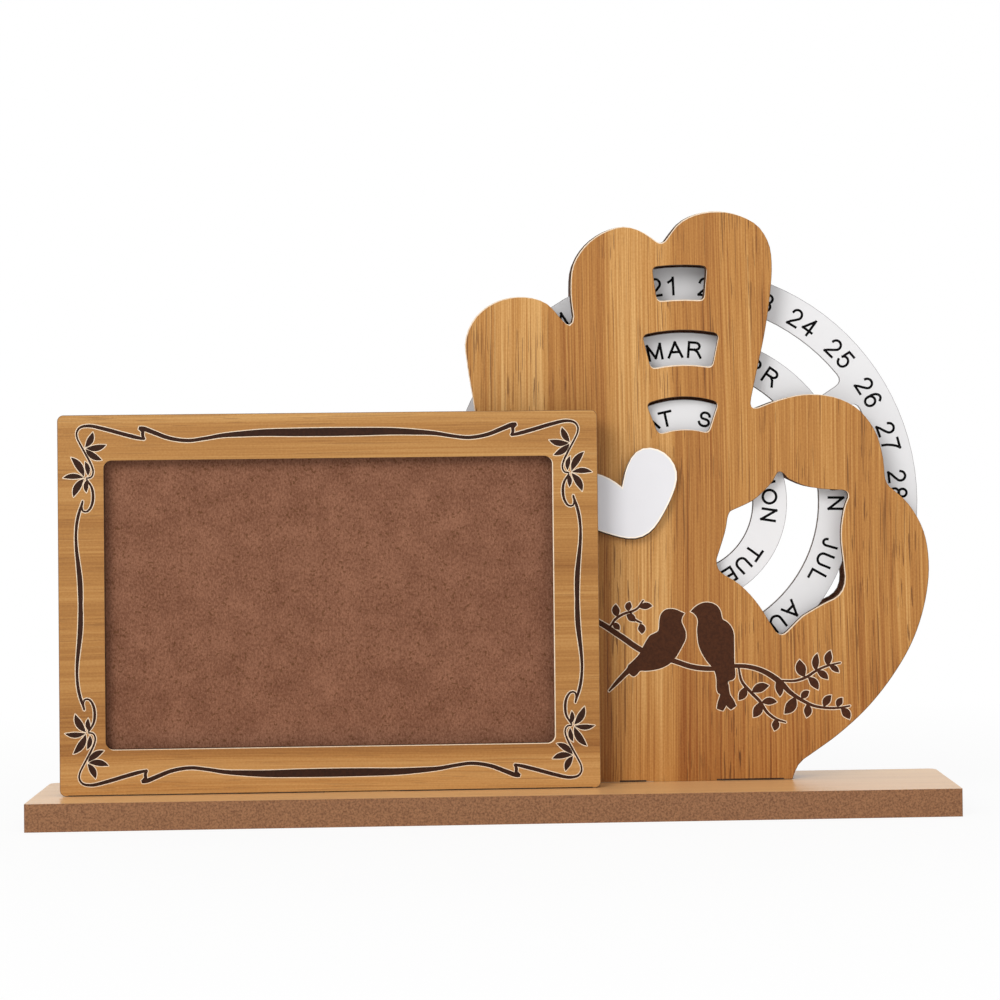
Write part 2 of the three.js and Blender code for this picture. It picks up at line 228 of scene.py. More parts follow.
def oak_print_group():
    """Printed oak: planks of random tone, slow bands, fine streaks, short dark pores and the
    fine dots of the print. Their swings add up, from Start Tone, to one tone that runs from Deep
    through Mid to Light.

    Grain runs along the second part of Grain Place and crosses the first, both in metres."""
    inputs = {
        "Grain Place": "vector", "Light": "colour", "Mid": "colour", "Deep": "colour",
        "Pore": "colour", "Plank Width": "number", "Plank Swing": "number",
        "Band Swing": "number", "Streak Swing": "number", "Pore Strength": "number",
        "Start Tone": "number",
    }
    tree, w, given, result = new_group("oak_print", inputs, {"Color": "colour", "Height": "number"})
    place = given["Grain Place"]
    across, along, _ = w.parts(place)
    sway = w.noise(place, SWAY_CELLS, detail=1.0)
    drift = w.math("MULTIPLY", w.math("SUBTRACT", sway, 0.5), SWAY_METRES)
    fibre_place = w.join(w.math("ADD", across, drift), along, 0.0)
    cell = w.math("DIVIDE", across, given["Plank Width"])
    plank_feeds = [("W", cell), ("Scale", 1.0), ("Smoothness", PLANK_BLUR)]
    plank = w.node("ShaderNodeTexVoronoi", plank_feeds, out="Color", voronoi_dimensions="1D",
                   feature="SMOOTH_F1")
    band = w.noise(fibre_place, BAND_CELLS, detail=3.0, roughness=0.6)
    streak = w.noise(fibre_place, STREAK_CELLS, detail=3.0, roughness=0.65)
    dots = w.noise(place, DOT_CELLS, detail=1.0)
    tone = w.swing(w.parts(plank)[0], given["Plank Swing"], given["Start Tone"])
    tone = w.swing(band, given["Band Swing"], tone)
    tone = w.swing(streak, given["Streak Swing"], tone)
    tone = w.swing(dots, DOT_SWING, tone)
    colour = w.mix(w.math("MULTIPLY", tone, 2.0), given["Deep"], given["Mid"])
    colour = w.mix(w.math("MULTIPLY_ADD", tone, 2.0, -1.0), colour, given["Light"])
    crowd = w.step(w.noise(fibre_place, CROWD_CELLS, detail=2.0), *CROWD_RANGE)
    pore = w.step(w.noise(fibre_place, PORE_CELLS, detail=1.0), *PORE_RANGE)
    long_pore = w.step(w.noise(fibre_place, LONG_PORE_CELLS, detail=1.0), *LONG_PORE_RANGE)
    long_pore = w.math("MULTIPLY", long_pore, LONG_PORE_SHARE)
    pores = w.math("MAXIMUM", w.math("MULTIPLY", pore, crowd), long_pore)
    strength = w.math("MULTIPLY", pores, given["Pore Strength"])
    w.tree.links.new(w.mix(strength, colour, given["Pore"]), result["Color"])
    height = w.math("SUBTRACT", w.math("MULTIPLY", streak, STREAK_RELIEF), pores)
    w.tree.links.new(height, result["Height"])
    return tree


def board_fibre_group():
    """Pressed wood fibre: soft mottling, fine felted fibres and scattered dark specks."""
    inputs = {"Place": "vector", "Light": "colour", "Dark": "colour", "Speck": "colour"}
    tree, w, given, result = new_group("board_fibre", inputs, {"Color": "colour", "Height": "number"})
    place = given["Place"]
    mottle = w.math("MULTIPLY", w.noise(place, MOTTLE_CELLS, detail=4.0, roughness=0.6), MOTTLE_SHARE)
    felt = w.noise(place, FELT_CELLS, detail=3.0, roughness=0.7)
    specks = w.noise(place, SPECK_CELLS, detail=1.0)
    tone = w.math("ADD", mottle, w.math("MULTIPLY", felt, FELT_SHARE))
    colour = w.mix(w.step(tone, *FIBRE_RANGE), given["Dark"], given["Light"])
    dark = w.math("MULTIPLY", w.step(specks, *SPECK_RANGE), SPECK_SHARE)
    w.tree.links.new(w.mix(dark, colour, given["Speck"]), result["Color"])
    w.tree.links.new(w.math("ADD", felt, mottle), result["Height"])
    return tree


def sheet_sides_group():
    """Which side of a cut sheet a point is on, from its normal against the direction of its face.

    Face and Back are 1 on the two flat sides; elsewhere is the cut edge. Scorch says how dark
    the laser left the edge: it has stripes across the thickness, from noise stretched along it."""
    inputs = {"Facing": "vector"}
    outputs = {"Face": "number", "Back": "number", "Scorch": "number"}
    tree, w, given, result = new_group("sheet_sides", inputs, outputs)
    turn = w.vector("DOT_PRODUCT", w.place("Normal"), given["Facing"], out="Value")
    w.tree.links.new(w.step(turn, *SIDE_RANGE), result["Face"])
    w.tree.links.new(w.step(w.math("MULTIPLY", turn, -1.0), *SIDE_RANGE), result["Back"])
    stripes = w.noise(w.place(), STRIPE_CELLS, detail=3.0, roughness=0.7)
    w.tree.links.new(w.step(stripes, *SCORCH_RANGE), result["Scorch"])
    return tree


oak_print = oak_print_group()
board_fibre = board_fibre_group()
sheet_sides = sheet_sides_group()


# Finishes

FACING_FRONT = (0.0, -1.0, 0.0)
FACING_UP = (0.0, 0.0, 1.0)
LASER_CUT = (SCORCH, CHAR_AND_SHADE)
SAWN = (SAWN_LIGHT, SAWN_DARK)
RAW_ROUGH = 0.85

# Heights in metres between which the painted shade at a sheet's foot fades into the plain print
FOOT_SHADE_LOW = 0.012
FOOT_SHADE_HIGH = 0.07


def new_finish(name, roughness, **settings):
    """A material with its Principled shader; the settings go straight onto its sockets."""
    material = bpy.data.materials.new(name)
    material.use_nodes = True
    shader = material.node_tree.nodes["Principled BSDF"]
    shader.inputs["Roughness"].default_value = roughness
    for key, value in settings.items():
        shader.inputs[key.replace("_", " ")].default_value = value
    return material, Wiring(material.node_tree), shader


def relief(w, shader, height, strength, depth):
    """Feeds a height through a Bump node of that depth in metres."""
    feeds = [("Strength", strength), ("Distance", depth), ("Height", height)]
    w.tree.links.new(w.node("ShaderNodeBump", feeds), shader.inputs["Normal"])


def grain_place(w, across, along, shift):
    """Puts the grain's cross and long directions first and second; shift picks another stretch."""
    parts = dict(zip("xyz", w.parts(w.place())))
    return w.vector("ADD", w.join(parts[across], parts[along], 0.0), shift)


def tone_by_height(w, darker):
    """The print's tone before its pattern: a half, and less by darker at the foot, as painted shade.
    """
    rise = w.step(w.parts(w.place())[2], FOOT_SHADE_LOW, FOOT_SHADE_HIGH)
    return w.math("MULTIPLY_ADD", rise, darker, 0.5 - darker)


def laminated_board(name, oak_values, grain, facing, edge_tones, gloss_rough, specular, foot=0.0):
    """Board with printed oak on its face, raw board behind and a cut edge all round.

    oak_values are the print's own inputs. grain is the axis across it, the axis along it and its
    shift. edge_tones are the edge's two colours. foot is how much painted shade darkens its foot."""
    material, w, shader = new_finish(name, gloss_rough, Specular_IOR_Level=specular)
    oak = w.group(oak_print, Grain_Place=grain_place(w, *grain), Pore=OAK_PORE,
                  Start_Tone=tone_by_height(w, foot) if foot else 0.5, **oak_values)
    raw = w.group(board_fibre, Place=w.place(), Light=BOARD_LIGHT, Dark=BOARD_DARK, Speck=SCORCH)
    sides = w.group(sheet_sides, Facing=facing)
    edge = w.mix(sides["Scorch"], *edge_tones)
    colour = w.mix(sides["Face"], edge, oak["Color"])
    colour = w.mix(sides["Back"], colour, raw["Color"])
    w.tree.links.new(colour, shader.inputs["Base Color"])
    smooth = (gloss_rough, gloss_rough, gloss_rough, 1.0)
    rough = w.mix(sides["Face"], (RAW_ROUGH, RAW_ROUGH, RAW_ROUGH, 1.0), smooth)
    w.tree.links.new(rough, shader.inputs["Roughness"])
    height = w.mix(sides["Face"], raw["Height"], oak["Height"])
    relief(w, shader, height, strength=0.25, depth=0.00008)
    return material


def raw_board():
    """Unfinished fibreboard, felted and matt."""
    material, w, shader = new_finish("raw_fibreboard", roughness=0.9, Specular_IOR_Level=0.15)
    raw = w.group(board_fibre, Place=w.place(), Light=BOARD_LIGHT, Dark=BOARD_DARK, Speck=SCORCH)
    sides = w.group(sheet_sides, Facing=FACING_FRONT)
    flat = w.math("MAXIMUM", sides["Face"], sides["Back"])
    edge = w.mix(sides["Scorch"], *LASER_CUT)
    w.tree.links.new(w.mix(flat, edge, raw["Color"]), shader.inputs["Base Color"])
    relief(w, shader, raw["Height"], strength=0.35, depth=0.0001)
    return material


def dial_board():
    """White card faces with a satin sheen, and laser-scorched edges."""
    material, w, shader = new_finish("white_dial_board", roughness=0.38)
    sides = w.group(sheet_sides, Facing=FACING_FRONT)
    flat = w.math("MAXIMUM", sides["Face"], sides["Back"])
    cloud = w.noise(w.place(), CARD_CLOUD_CELLS, detail=3.0)
    white = w.mix(cloud, CARD_WHITE, CARD_CLOUD)
    edge = w.mix(sides["Scorch"], *LASER_CUT)
    w.tree.links.new(w.mix(flat, edge, white), shader.inputs["Base Color"])
    tooth = w.noise(w.place(), CARD_TOOTH_CELLS, detail=2.0)
    relief(w, shader, tooth, strength=0.12, depth=0.00004)
    return material


def painted_heart():
    """White lacquer over board, with the faint peel of a sprayed coat and greyer edges."""
    material, w, shader = new_finish("white_lacquer", roughness=0.3)
    sides = w.group(sheet_sides, Facing=FACING_FRONT)
    cloud = w.noise(w.place(), LACQUER_CLOUD_CELLS, detail=3.0)
    white = w.mix(cloud, HEART_WHITE, HEART_CLOUD)
    w.tree.links.new(w.mix(sides["Face"], HEART_SIDE, white), shader.inputs["Base Color"])
    peel = w.noise(w.place(), LACQUER_PEEL_CELLS, detail=3.0)
    relief(w, shader, peel, strength=0.2, depth=0.00006)
    return material


def plain_grained(name, colour, second, roughness, cells, bump_depth, specular):
    """One colour broken by a fine grain of a second, for dowel, washers, print and edge lines."""
    material, w, shader = new_finish(name, roughness, Specular_IOR_Level=specular)
    grain = w.noise(w.place(), cells, detail=3.0, roughness=0.6)
    w.tree.links.new(w.mix(w.step(grain, *GRAIN_RANGE), colour, second), shader.inputs["Base Color"])
    relief(w, shader, grain, strength=0.2, depth=bump_depth)
    return material


HAND_OAK = {
    "Light": OAK_LIGHT, "Mid": OAK_MID, "Deep": OAK_DEEP, "Plank_Width": 0.021,
    "Plank_Swing": 0.38, "Band_Swing": 0.55, "Streak_Swing": 1.5, "Pore_Strength": 0.85,
}
FRAME_OAK = {
    "Light": FRAME_OAK_LIGHT, "Mid": FRAME_OAK_MID, "Deep": FRAME_OAK_DEEP, "Plank_Width": 0.021,
    "Plank_Swing": 0.35, "Band_Swing": 0.9, "Streak_Swing": 0.8, "Pore_Strength": 0.3,
}
# Lighter than the hand's oak as painted light, for the sheen and light on the plank's top
LIT_PLANK_OAK = {
    "Light": LIT_PLANK_LIGHT, "Mid": LIT_PLANK_MID, "Deep": LIT_PLANK_DEEP, "Plank_Width": 0.02,
    "Plank_Swing": 0.3, "Band_Swing": 0.6, "Streak_Swing": 0.5, "Pore_Strength": 0.2,
}
HAND_GRAIN = ("x", "z", (0.3585, 1.45, 0.0))
FRAME_GRAIN = ("z", "x", (0.3975, 4.55, 0.0))
PLANK_GRAIN = ("y", "x", (0.57, 0.4, 0.0))
# The hand's print gets painted shade at its foot, growing towards the plank
hand_oak = laminated_board("hand_oak_print", HAND_OAK, HAND_GRAIN, FACING_FRONT, LASER_CUT,
                           gloss_rough=0.45, specular=0.25, foot=0.15)
frame_oak = laminated_board("frame_oak_print", FRAME_OAK, FRAME_GRAIN, FACING_FRONT, LASER_CUT,
                            gloss_rough=0.45, specular=0.25)
plank_oak = laminated_board("plank_oak_print", LIT_PLANK_OAK, PLANK_GRAIN, FACING_UP, SAWN,
                            gloss_rough=0.3, specular=0.45)
brown_board = raw_board()
dial_white = dial_board()
heart_white = painted_heart()

# Name, two colours, roughness, cells of the grain per metre, depth of its bumps in metres, and
# specular level
PLAIN_FINISHES = [
    ("dowel_wood", DOWEL_WOOD, shade(176, 138, 92), 0.7, (900.0, 60.0, 900.0), 0.00006, 0.2),
    ("washer_fibre", FIBRE_GREY, shade(184, 176, 164), 0.8, even(700.0), 0.00005, 0.2),
    ("engraved_brown", ENGRAVED, shade(60, 31, 15), 0.8, even(1100.0), 0.00005, 0.2),
    ("vine_brown", VINE_BROWN, shade(42, 22, 12), 0.8, even(1100.0), 0.00005, 0.2),
    # The print's pale outline, and painted highlights on the hand's and frame's edges
    ("pale_outline_and_highlight", PALE_OUTLINE_AND_HIGHLIGHT, shade(222, 198, 168), 0.7, even(800.0), 0.00003, 0.2),
    # Browned cut edges, partly painted shade
    ("brown_and_shade_edge", EDGE_BROWN_AND_SHADE, shade(108, 76, 48), 0.8, even(800.0), 0.00003, 0.2),
    # Painted highlight on the heart's edge
    ("heart_highlight_finish", HEART_HIGHLIGHT, shade(255, 240, 220), 0.4, even(500.0), 0.00003, 0.2),
    ("card_edge", CARD_EDGE, shade(148, 145, 144), 0.7, even(800.0), 0.00003, 0.2),
    # Laser char on the dials' edges, and painted shadow lines at the feet and round the heart
    ("char_and_shadow", CHAR_AND_SHADE, shade(74, 56, 44), 0.8, even(600.0), 0.00003, 0.2),
    ("dial_ink", INK, shade(18, 16, 17), 0.8, even(900.0), 0.00002, 0.05),
]
plain = {values[0]: plain_grained(*values) for values in PLAIN_FINISHES}

FINISH_OF = {
    "base_board": plank_oak,
    "frame_front_plate": frame_oak,
    "frame_back_board": brown_board,
    "frame_spacer_left": brown_board,
    "frame_spacer_right": brown_board,
    "frame_spacer_bottom": brown_board,
    "hand_front_plate": hand_oak,
    "hand_rear_plate": brown_board,
    "palm_spacer": brown_board,
    "fingertip_spacer": brown_board,
    "little_finger_spacer": brown_board,
    "weekday_dial": dial_white,
    "month_dial": dial_white,
    "date_dial": dial_white,
    "front_washer": plain["washer_fibre"],
    "weekday_month_washer": plain["washer_fibre"],
    "month_date_washer": plain["washer_fibre"],
    "rear_washer": plain["washer_fibre"],
    "pivot_post": plain["dowel_wood"],
    "heart_ornament": heart_white,
}
for node_name, node_object in nodes.items():
    node_object.data.materials.clear()
    node_object.data.materials.append(FINISH_OF[node_name])


# Flat shapes drawn as strips between two edges, in millimetres

SAMPLES_PER_SPAN = 24
RIBBON_STEP = 0.7
RIBBON_FEWEST = 6
LEAF_STEPS = 11
LEAF_BOW = 0.08
LEAF_POWER = 0.85
LEAF_POINT = 0.03
END_REACH = 1.4


def curve_through(points, count):
    """Evenly spaced points on a smooth curve through the given ones, in any number of columns.

    Between two given points the curve is a cubic Hermite piece over the square root of their
    distance; a slope is the mean of the neighbouring pieces' slopes, each weighted by the
    other's length."""
    p = np.asarray(points, float)
    chords = np.linalg.norm(np.diff(p[:, :2], axis=0), axis=1)
    knots = np.concatenate(([0.0], np.cumsum(np.sqrt(chords))))
    span = np.diff(knots)[:, None]
    rise = np.diff(p, axis=0) / span
    inner = (rise[:-1] * span[1:] + rise[1:] * span[:-1]) / (span[:-1] + span[1:])
    slope = np.vstack([rise[:1], inner, rise[-1:]])
    at = np.linspace(0, knots[-1], SAMPLES_PER_SPAN * len(span) + 1)
    k = np.clip(np.searchsorted(knots, at, side="right") - 1, 0, len(span) - 1)
    h = span[k]
    u = ((at - knots[k]) / h[:, 0])[:, None]
    dense = ((1 + 2 * u) * (1 - u) ** 2 * p[k] + u * (1 - u) ** 2 * h * slope[k]
             + u ** 2 * (3 - 2 * u) * p[k + 1] + u ** 2 * (u - 1) * h * slope[k + 1])
    steps = np.linalg.norm(np.diff(dense[:, :2], axis=0), axis=1)
    run = np.concatenate(([0.0], np.cumsum(steps)))
    stops = np.linspace(0, run[-1], count)
    return np.column_stack([np.interp(stops, run, dense[:, i]) for i in range(p.shape[1])])


def across_line(line):
    """Unit normals to the left of a line, from central differences of its points."""
    ahead = np.gradient(line, axis=0)
    ahead /= np.linalg.norm(ahead, axis=1)[:, None]
    return np.column_stack([-ahead[:, 1], ahead[:, 0]])


def ribbon(points):
    """Edges of a ribbon along a curve: the line, and half its width off it along its normal to
    either side. Each point is (x, z, width)."""
    rough_length = np.linalg.norm(np.diff(np.asarray(points)[:, :2], axis=0), axis=1).sum()
    line = curve_through(points, max(RIBBON_FEWEST, int(rough_length / RIBBON_STEP)))
    side = across_line(line[:, :2]) * line[:, 2:] / 2
    return line[:, :2] + side, line[:, :2] - side


def leaf(root, tip, width):
    """Edges of a pointed leaf. Its spine is bowed to the left by a parabola, and its half width
    follows the sine of the way along it, from 0 to 180 degrees, to the power LEAF_POWER."""
    t = np.linspace(0, 1, LEAF_STEPS)[:, None]
    root, tip = np.array(root, float), np.array(tip, float)
    along = tip - root
    spine = root + along * t + np.array([-along[1], along[0]]) * LEAF_BOW * 4 * t * (1 - t)
    half = np.maximum(np.sin(np.pi * t) ** LEAF_POWER * width / 2, LEAF_POINT)
    side = across_line(spine) * half
    return spine + side, spine - side


def grown(edges, by):
    """The same strip made wider all round: each edge moves off along its own normal, and both
    ends move out along the strip."""
    left, right = edges
    left_out = left + across_line(left) * by
    right_out = right - across_line(right) * by
    middle = (left + right) / 2
    lead = middle[0] - middle[1]
    trail = middle[-1] - middle[-2]
    start = middle[0] + lead / np.linalg.norm(lead) * by * END_REACH
    end = middle[-1] + trail / np.linalg.norm(trail) * by * END_REACH
    return np.vstack([start, left_out, end]), np.vstack([start, right_out, end])


def strip_body(edges, low, high, closed=False):
    """A closed flat body over a strip. Ring k is its four corners at step k: left and right edge
    at height low, then right and left edge at height high. Faces join each ring to the next, and
    an open strip has a cap at each end."""
    left, right = edges
    n = len(left)
    rings = np.empty((n, 4, 3))
    rings[:, 0, :2] = rings[:, 3, :2] = left
    rings[:, 1, :2] = rings[:, 2, :2] = right
    rings[:, :2, 2] = low
    rings[:, 2:, 2] = high
    at = np.arange(n if closed else n - 1)[:, None] * 4
    after = (at + 4) % (4 * n)
    corner = np.arange(4)[None]
    turn = (corner + 1) % 4
    faces = np.stack([at + corner, at + turn, after + turn, after + corner], axis=-1).reshape(-1, 4)
    if not closed:
        faces = np.vstack([faces, [[3, 2, 1, 0]], 4 * (n - 1) + corner])
    return rings.reshape(-1, 3), faces


def on_front(origin, face):
    """A function that puts drawing points (x, z, height off the face) on a sheet whose front
    looks along -Y: each is added to the origin, and its height is taken off the face's y."""
    def put(points):
        return np.column_stack([origin[0] + points[:, 0] * MM, face - points[:, 2] * MM,
                                origin[1] + points[:, 1] * MM])
    return put


def flat_piece(name, bodies, put, body, material):
    """One mesh from many flat bodies, placed by put, with its faces turned outwards. It rides on
    a CAD body."""
    start = np.cumsum([0] + [len(points) for points, _ in bodies])
    points = put(np.vstack([points for points, _ in bodies]))
    faces = np.vstack([quads + first for (_, quads), first in zip(bodies, start)])
    mesh = bpy.data.meshes.new(name)
    mesh.from_pydata(points.tolist(), [], faces.tolist())
    shell = bmesh.new()
    shell.from_mesh(mesh)
    bmesh.ops.recalc_face_normals(shell, faces=shell.faces)
    shell.to_mesh(mesh)
    shell.free()
    mesh.materials.append(material)
    made = bpy.data.objects.new(name, mesh)
    bpy.context.scene.collection.objects.link(made)
    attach(made, body)


# Heights off the face. Everything sinks a little into the face it is on. Pale outlines lie under
# dark fillings, and layers are a hair apart, so that no two share a plane.
SUNK = -0.03
PALE = 0.02
DARK = 0.05
HAIR = 0.004

# How far the pale outline stands out round the print, and how much the print has spread in width
OUTLINE = 0.26
LINE_SPREAD = 0.22
VINE_LEAF_SPREAD = 0.15
BRANCH_LEAF_SPREAD = 0.45


def printed_lines(table):
    """Ribbons for a table of lines, each a little wider all along, as the print has spread."""
    return [ribbon([(x, z, wide + LINE_SPREAD) for x, z, wide in points]) for points in table]


def printed_leaves(table, spread):
    """Leaves for a table of them in two layers by turns, so that neighbours never share a plane."""
    leaves = [leaf(root, tip, wide + spread) for root, tip, wide in table]
    return [leaves[::2], leaves[1::2]]


def engraved(layers, lift=0.0):
    """Dark filled bodies and their pale outlines, for layers of strips in drawing order."""
    dark, pale = [], []
    for level, strips in enumerate(layers):
        top = HAIR * level + lift
        dark += [strip_body(edges, SUNK, DARK + top) for edges in strips]
        pale += [strip_body(grown(edges, OUTLINE), SUNK, PALE + top) for edges in strips]
    return dark, pale


# Vine round the frame
# One quarter, as (millimetres from the left end, millimetres from the top, width). The other
# three mirror it.

VINE_LINES = [
    [(87.7, 6.3, 2.5), (77, 6.3, 2.35), (67, 6.3, 2.0), (60, 6.6, 1.6), (53, 7.1, 1.1),
     (47.5, 8.0, 0.9), (42, 8.6, 0.9), (36, 7.7, 1.0), (31, 5.8, 1.15), (27.6, 4.5, 1.15),
     (26.3, 4.4, 0.8)],
    [(26.4, 4.3, 0.8), (27.6, 5.5, 0.9), (27.5, 6.9, 0.8), (28.2, 8.1, 0.5)],
    [(28.2, 8.0, 0.5), (25.5, 7.4, 0.95), (21, 6.2, 1.0), (15, 4.5, 0.95), (10.2, 3.5, 0.75),
     (7.4, 4.0, 0.5), (6.3, 5.5, 0.4), (6.4, 7.3, 0.35), (7.2, 9.1, 0.35), (8.5, 11.5, 0.4),
     (10.0, 14.3, 0.45), (11.1, 16.7, 0.4), (11.5, 18.5, 0.35), (10.9, 20.1, 0.35), (9.2, 20.5, 0.3)],
    [(9.3, 20.8, 0.3), (11.0, 23.6, 0.55), (11.4, 26.6, 0.7), (10.9, 29.4, 0.6), (9.6, 31.2, 0.45),
     (8.2, 31.2, 0.4), (7.7, 29.8, 0.45), (8.0, 28.2, 0.5)],
    [(8.1, 27.7, 0.3), (7.6, 29.5, 0.6), (6.9, 31.5, 0.72), (6.2, 34.5, 0.75), (5.8, 38.5, 0.65),
     (5.9, 43, 0.8), (6.4, 48, 1.08), (6.9, 53, 1.38), (7.1, 58, 1.34), (7.1, 61.9, 1.15)],
]
VINE_LEAVES = [
    ((9.0, 10.4), (11.5, 5.6), 1.9), ((9.3, 10.7), (15.7, 9.7), 1.9),
    ((9.1, 11.0), (14.3, 14.6), 1.9), ((8.5, 19.9), (4.4, 13.7), 2.1),
    ((9.8, 19.6), (8.9, 15.1), 1.4), ((8.3, 20.3), (1.8, 20.3), 1.6),
    ((8.5, 20.7), (5.1, 26.5), 2.1), ((9.7, 20.9), (9.3, 25.1), 1.4),
]

# The frame's side strip is as tall as the frame is without its tabs.
frame_low, frame_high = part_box("frame_front_plate")
frame_foot, frame_top = [corner.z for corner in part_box("frame_spacer_left")]
frame_wide = (frame_high.x - frame_low.x) / MM
frame_tall = (frame_top - frame_foot) / MM


def mirrored(edges, side, flip):
    """One quarter's strip moved to the quarter named by the two signs. Its edges change places
    where that turns it over."""
    centre = np.array([frame_wide / 2, frame_tall / 2])
    moved = [(centre - edge) * np.array([-side, flip]) for edge in edges]
    return moved[::-1] if side * flip > 0 else moved


vine_lines = printed_lines(VINE_LINES)
vine_leaves = printed_leaves(VINE_LEAVES, VINE_LEAF_SPREAD)
vine_dark, vine_pale = [], []
for slant in (1, -1):
    quarters = [(side, side * slant) for side in (1, -1)]
    vine_layers = [[mirrored(strip, *signs) for signs in quarters] for strip in vine_lines]
    for leaves in vine_leaves:
        vine_layers.append([mirrored(strip, *signs) for signs in quarters for strip in leaves])
    # Neighbouring quarters overlap where they meet, so one of the two is a little higher.
    dark, pale = engraved(vine_layers, HAIR / 2 * (slant > 0))
    vine_dark += dark
    vine_pale += pale
frame_centre = ((frame_low.x + frame_high.x) / 2, (frame_foot + frame_top) / 2)
on_frame = on_front(frame_centre, frame_low.y)
flat_piece("vine_engraving", vine_dark, on_frame, "stand", plain["vine_brown"])
flat_piece("vine_outline", vine_pale, on_frame, "stand", plain["pale_outline_and_highlight"])


# Two birds on a branch, on the hand
# Millimetres from a point near the dial axis, x to the right and z up.

BRANCH_LINES = [
    [(-50, -36, 0.5), (-44, -34.5, 1.1), (-36, -35.5, 1.4), (-28, -39, 1.5), (-21, -43.6, 1.6),
     (-14, -48.4, 1.6), (-8, -50.5, 1.5), (-3, -52.2, 1.4), (3, -54.2, 1.4), (9.5, -54.9, 1.3),
     (17.5, -54.1, 1.1), (22.5, -54.6, 1.2), (27, -56.2, 1.4), (32, -59.6, 1.6), (35.5, -63.2, 1.2),
     (39.5, -65.9, 0.9), (43.2, -67.7, 0.7), (47.7, -68.5, 0.6), (52, -68.5, 0.5), (55.5, -67.9, 0.3)],
    [(32.2, -59.2, 0.4), (37.2, -59.3, 0.6), (41, -58.1, 0.7), (44, -56.2, 0.6), (47.7, -54.6, 0.5),
     (52.5, -53.5, 0.3)],
    [(18.3, -54.6, 0.4), (19.3, -59.2, 0.7), (22.3, -62.9, 0.8), (25.3, -66, 0.8),
     (27.6, -69.6, 0.7), (30.5, -71.9, 0.6), (34, -73.1, 0.3)],
    [(-24.6, -41, 0.4), (-22.5, -38, 0.6), (-20, -36.4, 0.6), (-15.4, -34.7, 0.5),
     (-13.1, -31.8, 0.3)],
    [(-17.6, -35.6, 0.3), (-16, -38.2, 0.5), (-13.8, -39.4, 0.4)],
    [(-37, -35.6, 0.4), (-40, -39.5, 0.6), (-44, -42.5, 0.5), (-48, -43.5, 0.3)],
]
BRANCH_LEAVES = [
    ((-21.7, -37.2), (-22.3, -33), 2.1), ((-18.2, -35.4), (-17.6, -32.3), 1.8),
    ((-14.6, -34.3), (-10.2, -33.8), 1.8), ((-18.9, -36.6), (-16, -38.9), 2.0),
    ((-23.6, -39.4), (-21.2, -41.6), 1.6), ((-14.4, -39.6), (-13.8, -43), 2.0),
    ((20.5, -61), (18.2, -65.4), 2.3), ((22.6, -63), (28.4, -60.8), 2.6),
    ((25.4, -66.1), (23, -71.2), 2.7), ((25.8, -66.4), (31, -66.3), 2.0),
    ((30.3, -71.9), (30, -75.8), 2.1), ((30.8, -59), (32, -64.5), 2.2),
    ((37, -64.6), (33.4, -70.2), 3.1), ((39.2, -65.4), (41.8, -62.8), 1.9),
    ((41, -67), (40.8, -71.6), 2.2), ((46.6, -68.2), (49.2, -64.3), 2.1),
    ((51.2, -68.3), (52.9, -65.2), 1.8), ((52.3, -68.6), (55.2, -72.4), 2.3),
    ((40.4, -58.1), (38.7, -52.3), 3.0), ((44.3, -56.2), (44.7, -50.3), 1.9),
    ((48.3, -54.6), (49.1, -49.4), 2.2), ((41.4, -58.2), (44.8, -62.4), 2.2),
    ((44.4, -56.2), (48.1, -59), 1.9), ((48.6, -54.5), (51.8, -56.8), 1.5),
    ((-40.2, -39.8), (-39.6, -44.4), 2.2), ((-44.2, -42.5), (-44.4, -47), 2.1),
    ((-43, -41.8), (-46.8, -38.6), 2.0), ((-44, -34.6), (-47.4, -30.8), 2.2),
    ((-38.5, -35), (-39.6, -30.4), 2.2),
]
# A bird is its left and upper edge, then its right and lower edge, each from the beak's point to
# the end of its wing or tail.
BIRDS = [
    ([(0.5, -36.4), (-1.0, -35.7), (-2.3, -35.1), (-4.0, -34.8), (-5.8, -35.1), (-7.2, -36.3),
      (-7.8, -38), (-8, -40), (-8.3, -42), (-9.5, -42.8), (-11.1, -43.6), (-12.4, -45.4),
      (-13.6, -47.5), (-14.6, -49.5), (-16.2, -51.3), (-17.6, -52.6), (-18.5, -53.4), (-18.8, -54.6),
      (-18.3, -56)],
     [(0.5, -36.4), (-0.3, -37.7), (-0.5, -39.2), (0.2, -40.9), (0.8, -42.6), (0.7, -45),
      (-0.2, -46.9), (-1.5, -49.2), (-2.9, -51.3), (-4.6, -53), (-7, -54.3), (-9.6, -55),
      (-12.5, -55.3), (-14.5, -55.3), (-15.6, -56.5), (-16.8, -57.1), (-18.3, -56)]),
    ([(2.5, -35.8), (3.6, -36.5), (4.6, -37.8), (4.9, -39.4), (4.6, -41.7), (4.7, -44), (5, -46.6),
      (5.8, -49), (7.1, -51.4), (8.5, -53.3), (9.8, -54.9), (10.6, -56.7), (10.9, -59), (10.9, -61.3),
      (11.3, -62.9), (12.2, -63.5)],
     [(2.5, -35.8), (3.7, -34.6), (5.1, -33.6), (7, -32.9), (9.3, -33), (11.3, -34), (12.4, -35.6),
      (12.8, -37.1), (13.1, -38.4), (14.7, -39.5), (16.1, -41.2), (16.8, -43.2), (16.9, -45.9),
      (16.9, -48.8), (16.9, -51.7), (17, -54.2), (17.2, -56.3), (17, -58), (16.1, -58.8),
      (14.9, -59), (14.7, -60), (14.7, -63.5)]),
]
TAIL_FEATHERS = [
    [(-16.8, -53.8, 2.4), (-19.2, -55.9, 1.6), (-22.2, -58.9, 1.3), (-25, -61.9, 0.5)],
    [(13.5, -60.2, 2.0), (13.2, -63.8, 2.4), (12.6, -66.7, 3.0), (11.9, -68.6, 2.2)],
    [(13.9, -60.2, 2.0), (14.2, -63.8, 2.4), (15.3, -66.3, 3.1), (16.5, -68.0, 2.2)],
]
BIRD_STEPS = 90
BRANCH_RIGHT = -1.1
BRANCH_UP = -0.35

